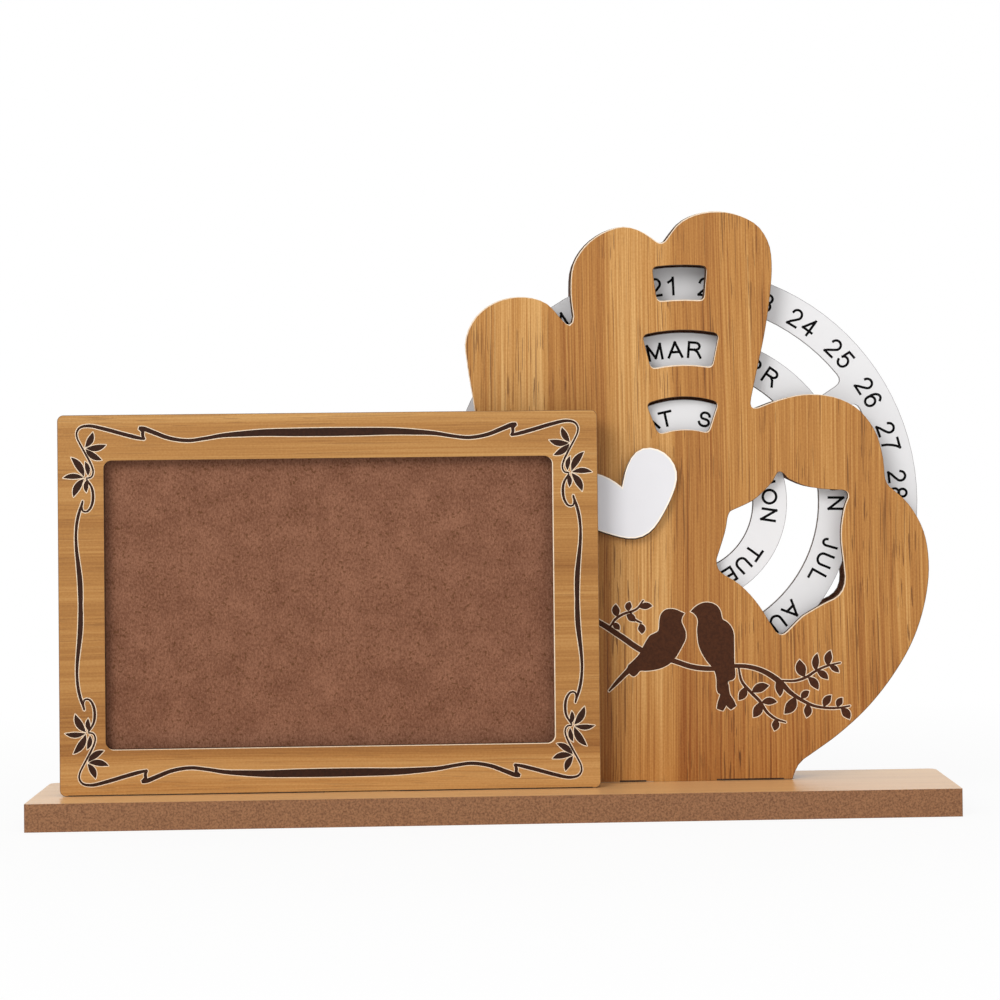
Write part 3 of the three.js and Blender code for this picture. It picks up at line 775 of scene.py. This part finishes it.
axis_low, axis_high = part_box("pivot_post")
dial_axis = ((axis_low.x + axis_high.x) / 2, (axis_low.z + axis_high.z) / 2)
branch_middle = (dial_axis[0] + BRANCH_RIGHT * MM, dial_axis[1] + BRANCH_UP * MM)
on_hand = on_front(branch_middle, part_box("hand_front_plate")[0].y)
branch_lines = printed_lines(BRANCH_LINES)
branch_leaves = printed_leaves(BRANCH_LEAVES, BRANCH_LEAF_SPREAD)
branch_layers = [branch_lines[:1], branch_lines[1:], *branch_leaves]
branch_layers.append([(curve_through(lower, BIRD_STEPS), curve_through(upper, BIRD_STEPS))
                      for upper, lower in BIRDS])
branch_layers += [[ribbon(points)] for points in TAIL_FEATHERS]
branch_dark, branch_pale = engraved(branch_layers)
flat_piece("birds_and_branch_engraving", branch_dark, on_hand, "stand", plain["engraved_brown"])
flat_piece("birds_and_branch_outline", branch_pale, on_hand, "stand", plain["pale_outline_and_highlight"])


# Lettering of the dials
# Strokes of each sign for a capital height of 1, x from its middle. A stroke is a path of points
# (x, y) and arcs (centre x, centre y, radius x, radius y, from degrees, to degrees).

GLYPHS = {
    "0": [[(0, .5, .25, .5, 90, 450)]],
    "1": [[(.05, 0), (.05, 1)], [(-.19, .74), (-.06, .83), (.04, .95)]],
    "2": [[(0, .71, .25, .29, 172, -38), (.03, .34), (-.14, .17), (-.25, 0), (.26, 0)]],
    "3": [[(-.01, .755, .215, .245, 165, -72), (-.01, .265, .255, .265, 72, -165)]],
    "4": [[(.12, 0), (.12, 1)], [(.1, .95), (-.27, .27), (.28, .27)]],
    "5": [[(.21, 1), (-.16, 1), (-.215, .52), (-.01, .33, .26, .33, 128, -158)]],
    "6": [[(.02, .5, .27, .5, 48, 200)], [(0, .315, .25, .315, 90, 450)]],
    "7": [[(-.26, 1), (.25, 1), (.12, .8), (.02, .55), (-.06, .27), (-.09, 0)]],
    "8": [[(0, .755, .205, .245, 90, 450)], [(0, .27, .25, .27, 90, 450)]],
    "9": [[(-.02, .5, .27, .5, 228, 380)], [(0, .685, .25, .315, 90, 450)]],
    "A": [[(-.39, 0), (0, 1), (.39, 0)], [(-.26, .34), (.26, .34)]],
    "B": [[(-.3, 0), (-.3, 1), (.04, 1), (.04, .765, .2, .235, 90, -90), (-.3, .53)],
          [(-.3, .53), (.07, .53), (.07, .265, .235, .265, 90, -90), (-.3, 0)]],
    "C": [[(.03, .5, .38, .5, 42, 318)]],
    "D": [[(-.33, 0), (-.33, 1), (0, 1), (0, .5, .36, .5, 90, -90), (-.33, 0)]],
    "E": [[(.3, 1), (-.28, 1), (-.28, 0), (.32, 0)], [(-.28, .52), (.27, .52)]],
    "F": [[(.28, 1), (-.26, 1), (-.26, 0)], [(-.26, .52), (.2, .52)]],
    "G": [[(0, .5, .4, .5, 45, 322), (.37, .23), (.37, .46), (.05, .46)]],
    "H": [[(-.33, 0), (-.33, 1)], [(.33, 0), (.33, 1)], [(-.33, .52), (.33, .52)]],
    "I": [[(0, 0), (0, 1)]],
    "J": [[(.17, 1), (.17, .28), (-.02, .26, .19, .26, 0, -172)]],
    "L": [[(-.24, 1), (-.24, 0), (.26, 0)]],
    "M": [[(-.38, 0), (-.38, 1), (0, .1), (.38, 1), (.38, 0)]],
    "N": [[(-.33, 0), (-.33, 1), (.33, 0), (.33, 1)]],
    "O": [[(0, .5, .42, .5, 90, 450)]],
    "P": [[(-.3, 0), (-.3, 1), (.05, 1), (.05, .74, .24, .26, 90, -90), (-.3, .48)]],
    "R": [[(-.34, 0), (-.34, 1), (.04, 1), (.04, .755, .25, .245, 90, -90), (-.34, .51)],
          [(.02, .51), (.2, .36), (.38, 0)]],
    "S": [[(0, .745, .27, .255, 12, 235), (0, .27, .31, .27, 60, -168)]],
    "T": [[(-.36, 1), (.36, 1)], [(0, 0), (0, 1)]],
    "U": [[(-.33, 1), (-.33, .36), (0, .35, .33, .35, 180, 360), (.33, 1)]],
    "V": [[(-.4, 1), (0, 0), (.4, 1)]],
    "W": [[(-.58, 1), (-.3, 0), (0, .97), (.3, 0), (.58, 1)]],
    "Y": [[(-.38, 1), (0, .46), (.38, 1)], [(0, 0), (0, .46)]],
}
# Width of each letter with the room beside it, for a capital height of 1
WIDE = {"A": .93, "B": .93, "C": 1.0, "D": 1.0, "E": .93, "F": .86, "G": 1.08, "H": 1.0, "I": .39,
        "J": .7, "L": .78, "M": 1.16, "N": 1.0, "O": 1.08, "P": .93, "R": 1.0, "S": .93, "T": .86,
        "U": 1.0, "V": .93, "W": 1.32, "Y": .93}
DIGIT_WIDE = 0.78
DEGREES_PER_STEP = 15
SAME_POINT_GAP = 0.01
CLOSING_GAP = 0.02
CUTTING_COSINE = -0.2
MITRE_COSINE_FLOOR = -0.9
LONGEST_MITRE = 1.45


def stroke_line(path, margin):
    """The centre line of a stroke: its points and sampled arcs, with heights drawn in by margin
    so that the ink stays within the capital height."""
    def sampled(item):
        """A point as it is, or an arc's points on the ellipse of its two radii."""
        if len(item) == 2:
            return np.array([item], float)
        x, y, across, up, start, end = item
        angle = np.radians(np.linspace(start, end, int(abs(end - start) / DEGREES_PER_STEP) + 2))
        return np.column_stack([x + across * np.cos(angle), y + up * np.sin(angle)])
    line = np.vstack([sampled(item) for item in path])
    keep = np.concatenate(([True], np.linalg.norm(np.diff(line, axis=0), axis=1) > SAME_POINT_GAP))
    line = line[keep]
    line[:, 1] = margin + line[:, 1] * (1 - 2 * margin)
    return line


def cut_at_sharp_turns(line):
    """A stroke's line in pieces, cut where it turns by much more than a right angle."""
    ahead = np.diff(line, axis=0)
    ahead /= np.linalg.norm(ahead, axis=1)[:, None]
    cosine = (ahead[1:] * ahead[:-1]).sum(axis=1)
    cuts = (np.flatnonzero(cosine < CUTTING_COSINE) + 1).tolist()
    return [line[start:end + 1] for start, end in zip([0, *cuts], [*cuts, len(line) - 1])]


def stroke_edges(line, half):
    """Mitred edges of a stroke. At a corner the offset is the sum of the two sides' normals over
    one plus their dot product, and is never longer than LONGEST_MITRE half widths. A stroke that
    ends where it starts is closed; any other runs on by half its width at both ends."""
    closed = np.linalg.norm(line[0] - line[-1]) < CLOSING_GAP
    if closed:
        line = line[:-1]
        ahead = np.roll(line, -1, axis=0) - line
    else:
        ahead = np.diff(line, axis=0)
    ahead /= np.linalg.norm(ahead, axis=1)[:, None]
    if not closed:
        line = line.copy()
        line[0] -= ahead[0] * half
        line[-1] += ahead[-1] * half
    normal = np.column_stack([-ahead[:, 1], ahead[:, 0]])
    before = np.roll(normal, 1, axis=0) if closed else np.vstack([normal[:1], normal])
    after = normal if closed else np.vstack([normal, normal[-1:]])
    cosine = np.maximum((before * after).sum(axis=1), MITRE_COSINE_FLOOR)
    mitre = (before + after) / (1 + cosine)[:, None]
    length = np.linalg.norm(mitre, axis=1)[:, None]
    mitre *= np.minimum(1, LONGEST_MITRE / length)
    return (line + mitre * half, line - mitre * half), closed


def lettering(words, bearings, radius, height, stroke, spacing):
    """Bodies of words written round the dial, tops outwards, read clockwise. Each sign keeps its
    shape and is turned about the axis to its own bearing, measured from the x axis in degrees."""
    bodies = []
    half = stroke / height / 2
    for word, bearing in zip(words, bearings):
        wide = np.array([WIDE.get(sign, DIGIT_WIDE) for sign in word]) * height
        starts = np.concatenate(([0.0], np.cumsum(wide + spacing)))[:-1]
        middles = starts + wide / 2 - (wide.sum() + spacing * (len(word) - 1)) / 2
        for sign, middle in zip(word, middles):
            angle = math.radians(bearing - 90) - middle / radius
            turn = np.array([[math.cos(angle), math.sin(angle)], [-math.sin(angle), math.cos(angle)]])
            lines = [stroke_line(path, half) for path in GLYPHS[sign]]
            lines = [piece for line in lines for piece in cut_at_sharp_turns(line)]
            for level, line in enumerate(lines):
                edges, closed = stroke_edges(line, half)
                low_line = np.array([0, radius - height / 2])
                placed = [(edge * height + low_line) @ turn for edge in edges]
                bodies.append(strip_body(placed, SUNK, DARK + HAIR * level, closed))
    return bodies


# Bearings of the words' middles are degrees from the x axis, turning left. The days run round the
# dial in two steps, a smaller one for the numbers of one digit.
DAY_NUMBERS = [str(day) for day in range(1, 32)]
MONTHS = "JAN FEB MAR APR MAY JUN JUL AUG SEP OCT NOV DEC".split()
WEEKDAYS = "SUN MON TUE WED THU FRI SAT".split()
ONE_DIGIT_STEP = 8.4
TWO_DIGIT_STEP = (360 - 9 * ONE_DIGIT_STEP) / 22
DAY_IN_WINDOW = "21"
WINDOW_BEARING = 94.5
MONTH_BEARINGS = [153.5, 123.5, 93.1, 61.6, 30.5, 5.5, -23.1, -53.2, -83.4, -113.6, -143.8, -174.0]
WEEKDAY_BEARINGS = [63.9, 4.1, -47.6, -97.5, -147.5, -197.5, -247.2]
day_steps = np.array([ONE_DIGIT_STEP if len(day) == 1 else TWO_DIGIT_STEP for day in DAY_NUMBERS])
day_places = np.cumsum(day_steps) - day_steps / 2
day_bearings = WINDOW_BEARING - (day_places - day_places[DAY_NUMBERS.index(DAY_IN_WINDOW)])

# Radius of the words' middle line, in millimetres
DATE_RADIUS = 72.75
MONTH_RADIUS = 51.2
WEEKDAY_RADIUS = 28.6

# Body, node, words, their bearings and radius, and the height, stroke and spacing of the letters
DIALS = [
    ("date", "date_dial", DAY_NUMBERS, day_bearings, DATE_RADIUS, 6.35, 0.82, 0.67),
    ("month", "month_dial", MONTHS, MONTH_BEARINGS, MONTH_RADIUS, 5.7, 0.84, 0.95),
    ("weekday", "weekday_dial", WEEKDAYS, WEEKDAY_BEARINGS, WEEKDAY_RADIUS, 5.35, 0.84, 0.5),
]
for body_name, dial, words, bearings, radius, height, stroke, spacing in DIALS:
    on_dial = on_front(dial_axis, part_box(dial)[0].y)
    bodies = lettering(words, bearings, radius, height, stroke, spacing)
    flat_piece(f"{body_name}_lettering", bodies, on_dial, body_name, plain["dial_ink"])


# Thin lines where a cut edge meets a face, partly painted highlight and shade, and painted shadow
# where a sheet stands on the plank

# Widths in millimetres
THINNEST = 0.03
# The paper's bright line is a painted highlight
PAPER_HIGHLIGHT = 0.42
SHADOW_LINE = 0.42
HEART_LINE = 0.42
# The hand's and the window's browned lines are partly painted shade
HAND_BROWN_SHADE = 0.2
FRAME_BROWNED = 0.16
WINDOW_BROWN_SHADE = 0.12
DIAL_SCORCH = 0.22
DIAL_RIM = 0.16
# The feet's lines are painted shadow where a sheet stands on the plank
HAND_FOOT_SHADOW = 0.5
FRAME_FOOT_SHADOW = 0.3

# Heights off the face, so that no two lines share a plane
BROWNED_RISE = 0.01
PAPER_RISE = 0.012
SHADOW_RISE = 0.014

# Directions across the front in which the bright lines look, towards the lamp. Painted highlights
# widen where an edge faces them, and painted shade where it faces away.
TOWARDS_LAMP = np.array([-0.8, 0.6])
WINDOW_LAMP = np.array([-0.35, 0.94])

# Places in millimetres. The fingers' are the scene's, the windows' count from the dial axis, and
# the feet's from the middle of the drawing that they belong to.
FRAME_BORDER = 5.0
FINGER_ROOTS = 158.0
RING_FINGER_LEFT = 22.0
WINDOWS_LOW = 25.0
WINDOWS_REACH = 14.0
FRAME_FOOT_REACH = 85.0
HAND_FOOT_GAP = 0.1
HAND_SLOT_GAPS = [(-21.7, -12.8), (10.6, 33.0)]

MICRONS_PER_METRE = 1e6
MITRE_FLOOR = 0.8
dial_centre = np.array(dial_axis) / MM


def foot_line(start, end, foot, width):
    """A thin line of painted shadow along a straight foot, from start to end in drawing millimetres.
    """
    middle = foot + width / 2
    return strip_body(ribbon([(start, middle, width), (end, middle, width)]), SUNK, SHADOW_RISE)


# Painted shadow under the frame and in the gaps beside the hand's tabs
frame_line = foot_line(-FRAME_FOOT_REACH, FRAME_FOOT_REACH, -frame_tall / 2, FRAME_FOOT_SHADOW)
flat_piece("frame_foot_shadow", [frame_line], on_frame, "stand", plain["char_and_shadow"])
hand_foot = (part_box("base_board")[1].z - branch_middle[1]) / MM + HAND_FOOT_GAP
hand_lines = [foot_line(start, end, hand_foot, HAND_FOOT_SHADOW) for start, end in HAND_SLOT_GAPS]
flat_piece("hand_foot_shadows", hand_lines, on_hand, "stand", plain["char_and_shadow"])


def front_outline(node):
    """Outline of a CAD node's front face: its points, and its edges as pairs of their places.

    Points that are the same to a micrometre are one. The face is the triangles whose corners all
    lie furthest towards the front, and an edge that only one of them has is an outline edge. It
    has the face on its left, seen from the front."""
    mesh = nodes[node].data
    mesh.calc_loop_triangles()
    points = np.empty(len(mesh.vertices) * 3)
    mesh.vertices.foreach_get("co", points)
    points = points.reshape(-1, 3)
    corners = np.empty(len(mesh.loop_triangles) * 3, int)
    mesh.loop_triangles.foreach_get("vertices", corners)
    corners = corners.reshape(-1, 3)
    at_front = points[:, 1] < points[:, 1].min() + 1 / MICRONS_PER_METRE
    whole = np.round(points * MICRONS_PER_METRE)
    unique, place_of = np.unique(whole, axis=0, return_inverse=True)
    face = place_of.ravel()[corners[at_front[corners].all(axis=1)]]
    edges = np.vstack([face[:, [0, 1]], face[:, [1, 2]], face[:, [2, 0]]])
    pairs = np.sort(edges, axis=1)
    _, first, count = np.unique(pairs, axis=0, return_index=True, return_counts=True)
    used, edges = np.unique(edges[first[count == 1]], return_inverse=True)
    return unique[used] / MICRONS_PER_METRE, edges.reshape(-1, 2)


def in_place(points):
    """Leaves points that are already in the scene's metres where they are."""
    return points


def face_rim(name, node, width_at, rise, body, material):
    """A thin band along the outline of a CAD node's front face, drawn from the node's own mesh.

    Each outline point moves inwards by the mitre of its two edges, twice their normals' sum over
    its squared length, times the width that width_at gives for its place in millimetres and its
    outward direction. The band leaves out the stretches that are thinner than THINNEST, and is
    capped where it ends."""
    points, edges = front_outline(node)
    plane = points[:, [0, 2]]
    ahead = plane[edges[:, 1]] - plane[edges[:, 0]]
    ahead /= np.linalg.norm(ahead, axis=1)[:, None]
    inward = np.column_stack([-ahead[:, 1], ahead[:, 0]])
    total = np.zeros_like(plane)
    np.add.at(total, edges[:, 0], inward)
    np.add.at(total, edges[:, 1], inward)
    mitre = 2 * total / np.maximum((total ** 2).sum(axis=1), MITRE_FLOOR)[:, None]
    outward = -total / np.linalg.norm(total, axis=1)[:, None]
    width = np.maximum(width_at(plane / MM, outward), THINNEST / 2)
    rings = np.repeat(points[:, None], 4, axis=1)
    rings[:, 1:3, 0::2] += (mitre * width[:, None] * MM)[:, None]
    rings[:, :2, 1] -= SUNK * MM
    rings[:, 2:, 1] -= rise * MM
    edges = edges[(width[edges] > THINNEST).any(axis=1)]
    ends, uses = np.unique(edges, return_counts=True)
    corner = np.arange(4)[None]
    around = (corner + 1) % 4
    a, b = edges[:, :1] * 4, edges[:, 1:] * 4
    faces = np.stack([a + corner, a + around, b + around, b + corner], axis=-1).reshape(-1, 4)
    faces = np.vstack([faces, ends[uses == 1][:, None] * 4 + corner])
    kept, faces = np.unique(faces, return_inverse=True)
    band = (rings.reshape(-1, 3)[kept], faces.reshape(-1, 4))
    flat_piece(name, [band], in_place, body, material)


def on_window(points):
    """Whether outline points belong to the frame's window, and not to its outside."""
    x, z = points.T
    left, right = frame_low.x / MM + FRAME_BORDER, frame_high.x / MM - FRAME_BORDER
    low, high = frame_foot / MM + FRAME_BORDER, frame_top / MM - FRAME_BORDER
    return (x > left) & (x < right) & (z > low) & (z < high)


def shadowed_edge(points, outward):
    """Widths of the dark line on the two long fingers' left sides: none where the outline hardly
    faces left, and growing to full where it faces almost straight left."""
    fingers = (points[:, 1] > FINGER_ROOTS) & (points[:, 0] > RING_FINGER_LEFT)
    return SHADOW_LINE * np.clip(-outward[:, 0] * 1.6 - 0.35, 0, 1) * fingers


def hand_paper(points, outward):
    """Widths of the paper's bright edge on the hand, a painted highlight: widest where the outline
    faces up and left towards the lamp, or mostly up in the three windows, and wider beside the
    dark line, which it shows inside of."""
    away = np.abs(points - dial_centre)
    above = points[:, 1] > dial_centre[1]
    windows = above & (away[:, 1] > WINDOWS_LOW) & (away[:, 0] < WINDOWS_REACH)
    facing = np.where(windows, outward @ WINDOW_LAMP, outward @ TOWARDS_LAMP)
    return PAPER_HIGHLIGHT * facing + 0.9 * shadowed_edge(points, outward)


def hand_browned(_, outward):
    """Widths of the hand's browned edge, drawn as painted shade: widest where the outline faces
    down and right, away from the lamp.
    """
    return HAND_BROWN_SHADE * (outward @ -TOWARDS_LAMP)


def window_paper(points, outward):
    """Widths of the paper's bright edge in the frame's window, a painted highlight where it faces the
    lamp.
    """
    return np.where(on_window(points), PAPER_HIGHLIGHT * (outward @ TOWARDS_LAMP), 0)


def frame_browned(points, outward):
    """Widths of the browned edge round the outside of the frame, and of painted shade on the window's
    far sides, which face away from the lamp.
    """
    return np.where(on_window(points), WINDOW_BROWN_SHADE * (outward @ -TOWARDS_LAMP), FRAME_BROWNED)


def heart_shadow(_, outward):
    """Widths of the dark line where the heart meets the hand: widest low down and on the left."""
    return HEART_LINE * np.clip(0.4 - outward[:, 1] - 0.5 * outward[:, 0], 0, 1)


def heart_shine(points, outward):
    """Widths of the heart's painted highlight, a bright line which lies inside the dark one, a little
    wider on the right."""
    return HEART_LINE + 0.12 * outward[:, 0] + heart_shadow(points, outward)


def scorch_within(radius):
    """A function for the widths of the scorched line: only on outlines within the radius."""
    def width_at(points, _):
        return DIAL_SCORCH * (np.linalg.norm(points - dial_centre, axis=1) < radius)
    return width_at


def rim_beyond(radius):
    """A function for the widths of the card's edge line: only on outlines beyond the radius."""
    def width_at(points, _):
        return DIAL_RIM * (np.linalg.norm(points - dial_centre, axis=1) > radius)
    return width_at


# Piece, CAD node, widths, rise, body and finish
RIMS = [
    # The bright edges are painted highlights, the browned edges partly painted shade, and the heart's
    # two lines painted highlight and shadow
    ("hand_highlight_edge", "hand_front_plate", hand_paper, PAPER_RISE, "stand", "pale_outline_and_highlight"),
    ("hand_shadowed_edge", "hand_front_plate", shadowed_edge, SHADOW_RISE, "stand", "char_and_shadow"),
    ("hand_brown_shade_edge", "hand_front_plate", hand_browned, BROWNED_RISE, "stand", "brown_and_shade_edge"),
    ("frame_highlight_edge", "frame_front_plate", window_paper, PAPER_RISE, "stand", "pale_outline_and_highlight"),
    ("frame_brown_shade_edge", "frame_front_plate", frame_browned, BROWNED_RISE, "stand", "brown_and_shade_edge"),
    ("heart_highlight_edge", "heart_ornament", heart_shine, PAPER_RISE, "stand", "heart_highlight_finish"),
    ("heart_shadowed_edge", "heart_ornament", heart_shadow, SHADOW_RISE, "stand", "char_and_shadow"),
    ("weekday_dial_scorch", "weekday_dial", scorch_within(WEEKDAY_RADIUS), PAPER_RISE, "weekday",
     "char_and_shadow"),
    ("weekday_dial_rim", "weekday_dial", rim_beyond(WEEKDAY_RADIUS), BROWNED_RISE, "weekday",
     "card_edge"),
    ("month_dial_scorch", "month_dial", scorch_within(MONTH_RADIUS), PAPER_RISE, "month", "char_and_shadow"),
    ("month_dial_rim", "month_dial", rim_beyond(MONTH_RADIUS), BROWNED_RISE, "month", "card_edge"),
    ("date_dial_rim", "date_dial", rim_beyond(0.0), BROWNED_RISE, "date", "card_edge"),
]
for name, node, width_at, rise, body, finish in RIMS:
    face_rim(name, node, width_at, rise, body, plain[finish])


# Camera, light and floor

CAMERA_PLACE = (-0.00245, -0.99581, 0.1224)
CAMERA_TILTS = (-0.01804, -0.0494, -0.01017)
FOCAL_SHARE = 3.00963
VIEW_CENTRE = (0.633786, 0.38599)
SENSOR_WIDE = 36
LIT_POINT = (-0.01, 0.0, 0.09)
SKY_STRENGTH = 0.56
FLOOR_SIZE = 8.0
FLOOR_LOW = -0.00005
FLOOR_NEAR = 0.15
FLOOR_FAR = 0.45
FLOOR_PALE = 0.9


def camera_at(position, tilts, focal_share, centre):
    """The photograph's camera. Tilts are radians that turn a camera that looks along +Y about its
    own right, down and view axes. focal_share is the focal length over the picture's width, and
    centre is where the view axis meets the picture, as shares from its left and top."""
    c, s = np.cos(tilts), np.sin(tilts)
    about_right = np.array([[1, 0, 0], [0, c[0], -s[0]], [0, s[0], c[0]]])
    about_down = np.array([[c[1], 0, s[1]], [0, 1, 0], [-s[1], 0, c[1]]])
    about_view = np.array([[c[2], -s[2], 0], [s[2], c[2], 0], [0, 0, 1]])
    level = np.array([[1, 0, 0], [0, 0, -1], [0, 1, 0]])
    right, down, ahead = about_view @ about_down @ about_right @ level
    data = bpy.data.cameras.new("camera")
    data.sensor_width = SENSOR_WIDE
    data.lens = focal_share * data.sensor_width
    data.shift_x = 0.5 - centre[0]
    data.shift_y = centre[1] - 0.5
    data.clip_end = 20
    made = bpy.data.objects.new("camera", data)
    matrix = np.eye(4)
    matrix[:3, 0], matrix[:3, 1], matrix[:3, 2], matrix[:3, 3] = right, -down, -ahead, position
    bpy.context.scene.collection.objects.link(made)
    made.matrix_world = Matrix(matrix)
    return made


def area_light(name, place, size, power):
    """A square lamp turned to face LIT_POINT. A lamp looks straight down, so it is tipped by the
    angle between down and its aim, and turned to its aim's bearing."""
    data = bpy.data.lights.new(name, "AREA")
    data.size = size
    data.energy = power
    made = bpy.data.objects.new(name, data)
    bpy.context.scene.collection.objects.link(made)
    aim = np.array(LIT_POINT) - np.array(place)
    tip = math.atan2(math.hypot(aim[0], aim[1]), -aim[2])
    made.location = place
    made.rotation_euler = (tip, 0, math.atan2(aim[1], aim[0]) - math.pi / 2)


def studio_floor():
    """A pale floor. The camera sees it paler than it is, and pure white further out, so that it
    runs into the background and still shows a soft shadow round the object."""
    mesh = bpy.data.meshes.new("floor")
    reach = FLOOR_SIZE / 2
    corners = [(x, y, FLOOR_LOW) for x, y in [(-reach, -reach), (reach, -reach), (reach, reach),
                                              (-reach, reach)]]
    mesh.from_pydata(corners, [], [(0, 1, 2, 3)])
    material, w, shader = new_finish("floor_white", roughness=0.9)
    shader.inputs["Base Color"].default_value = FLOOR_WHITE
    seen = w.node("ShaderNodeLightPath", out="Is Camera Ray")
    glow = w.node("ShaderNodeEmission", [("Color", PURE_WHITE), ("Strength", 1.0)])
    far = w.vector("LENGTH", w.place(), out="Value")
    pale_feeds = [("Value", far), ("From Min", FLOOR_NEAR), ("From Max", FLOOR_FAR),
                  ("To Min", FLOOR_PALE), ("To Max", 1.0)]
    pale = w.node("ShaderNodeMapRange", pale_feeds)
    share = w.math("MULTIPLY", seen, pale)
    mixed = w.node("ShaderNodeMixShader", [(0, share), (1, shader.outputs[0]), (2, glow)])
    w.tree.links.new(mixed, w.tree.nodes["Material Output"].inputs[0])
    mesh.materials.append(material)
    made = bpy.data.objects.new("floor", mesh)
    bpy.context.scene.collection.objects.link(made)


def studio_sky(strength):
    """White to the camera and in reflections, and an even soft light of its own strength."""
    world = bpy.data.worlds.new("studio")
    world.use_nodes = True
    bpy.context.scene.world = world
    w = Wiring(world.node_tree)
    rays = w.tree.nodes.new("ShaderNodeLightPath").outputs
    seen = w.math("MAXIMUM", rays["Is Camera Ray"], rays["Is Glossy Ray"])
    seen = w.math("MAXIMUM", seen, rays["Is Transmission Ray"])
    level = w.math("ADD", strength, w.math("MULTIPLY", seen, 1.0 - strength))
    back = w.tree.nodes["Background"]
    back.inputs["Color"].default_value = PURE_WHITE
    w.tree.links.new(level, back.inputs["Strength"])


scene = bpy.context.scene
scene.view_settings.view_transform = "Standard"
scene.camera = camera_at(CAMERA_PLACE, CAMERA_TILTS, FOCAL_SHARE, VIEW_CENTRE)
area_light("key", place=(-0.68, -1.35, 0.85), size=0.7, power=12.5)
area_light("fill", place=(0.8, -1.3, 0.4), size=1.0, power=3.8)
studio_sky(SKY_STRENGTH)
studio_floor()
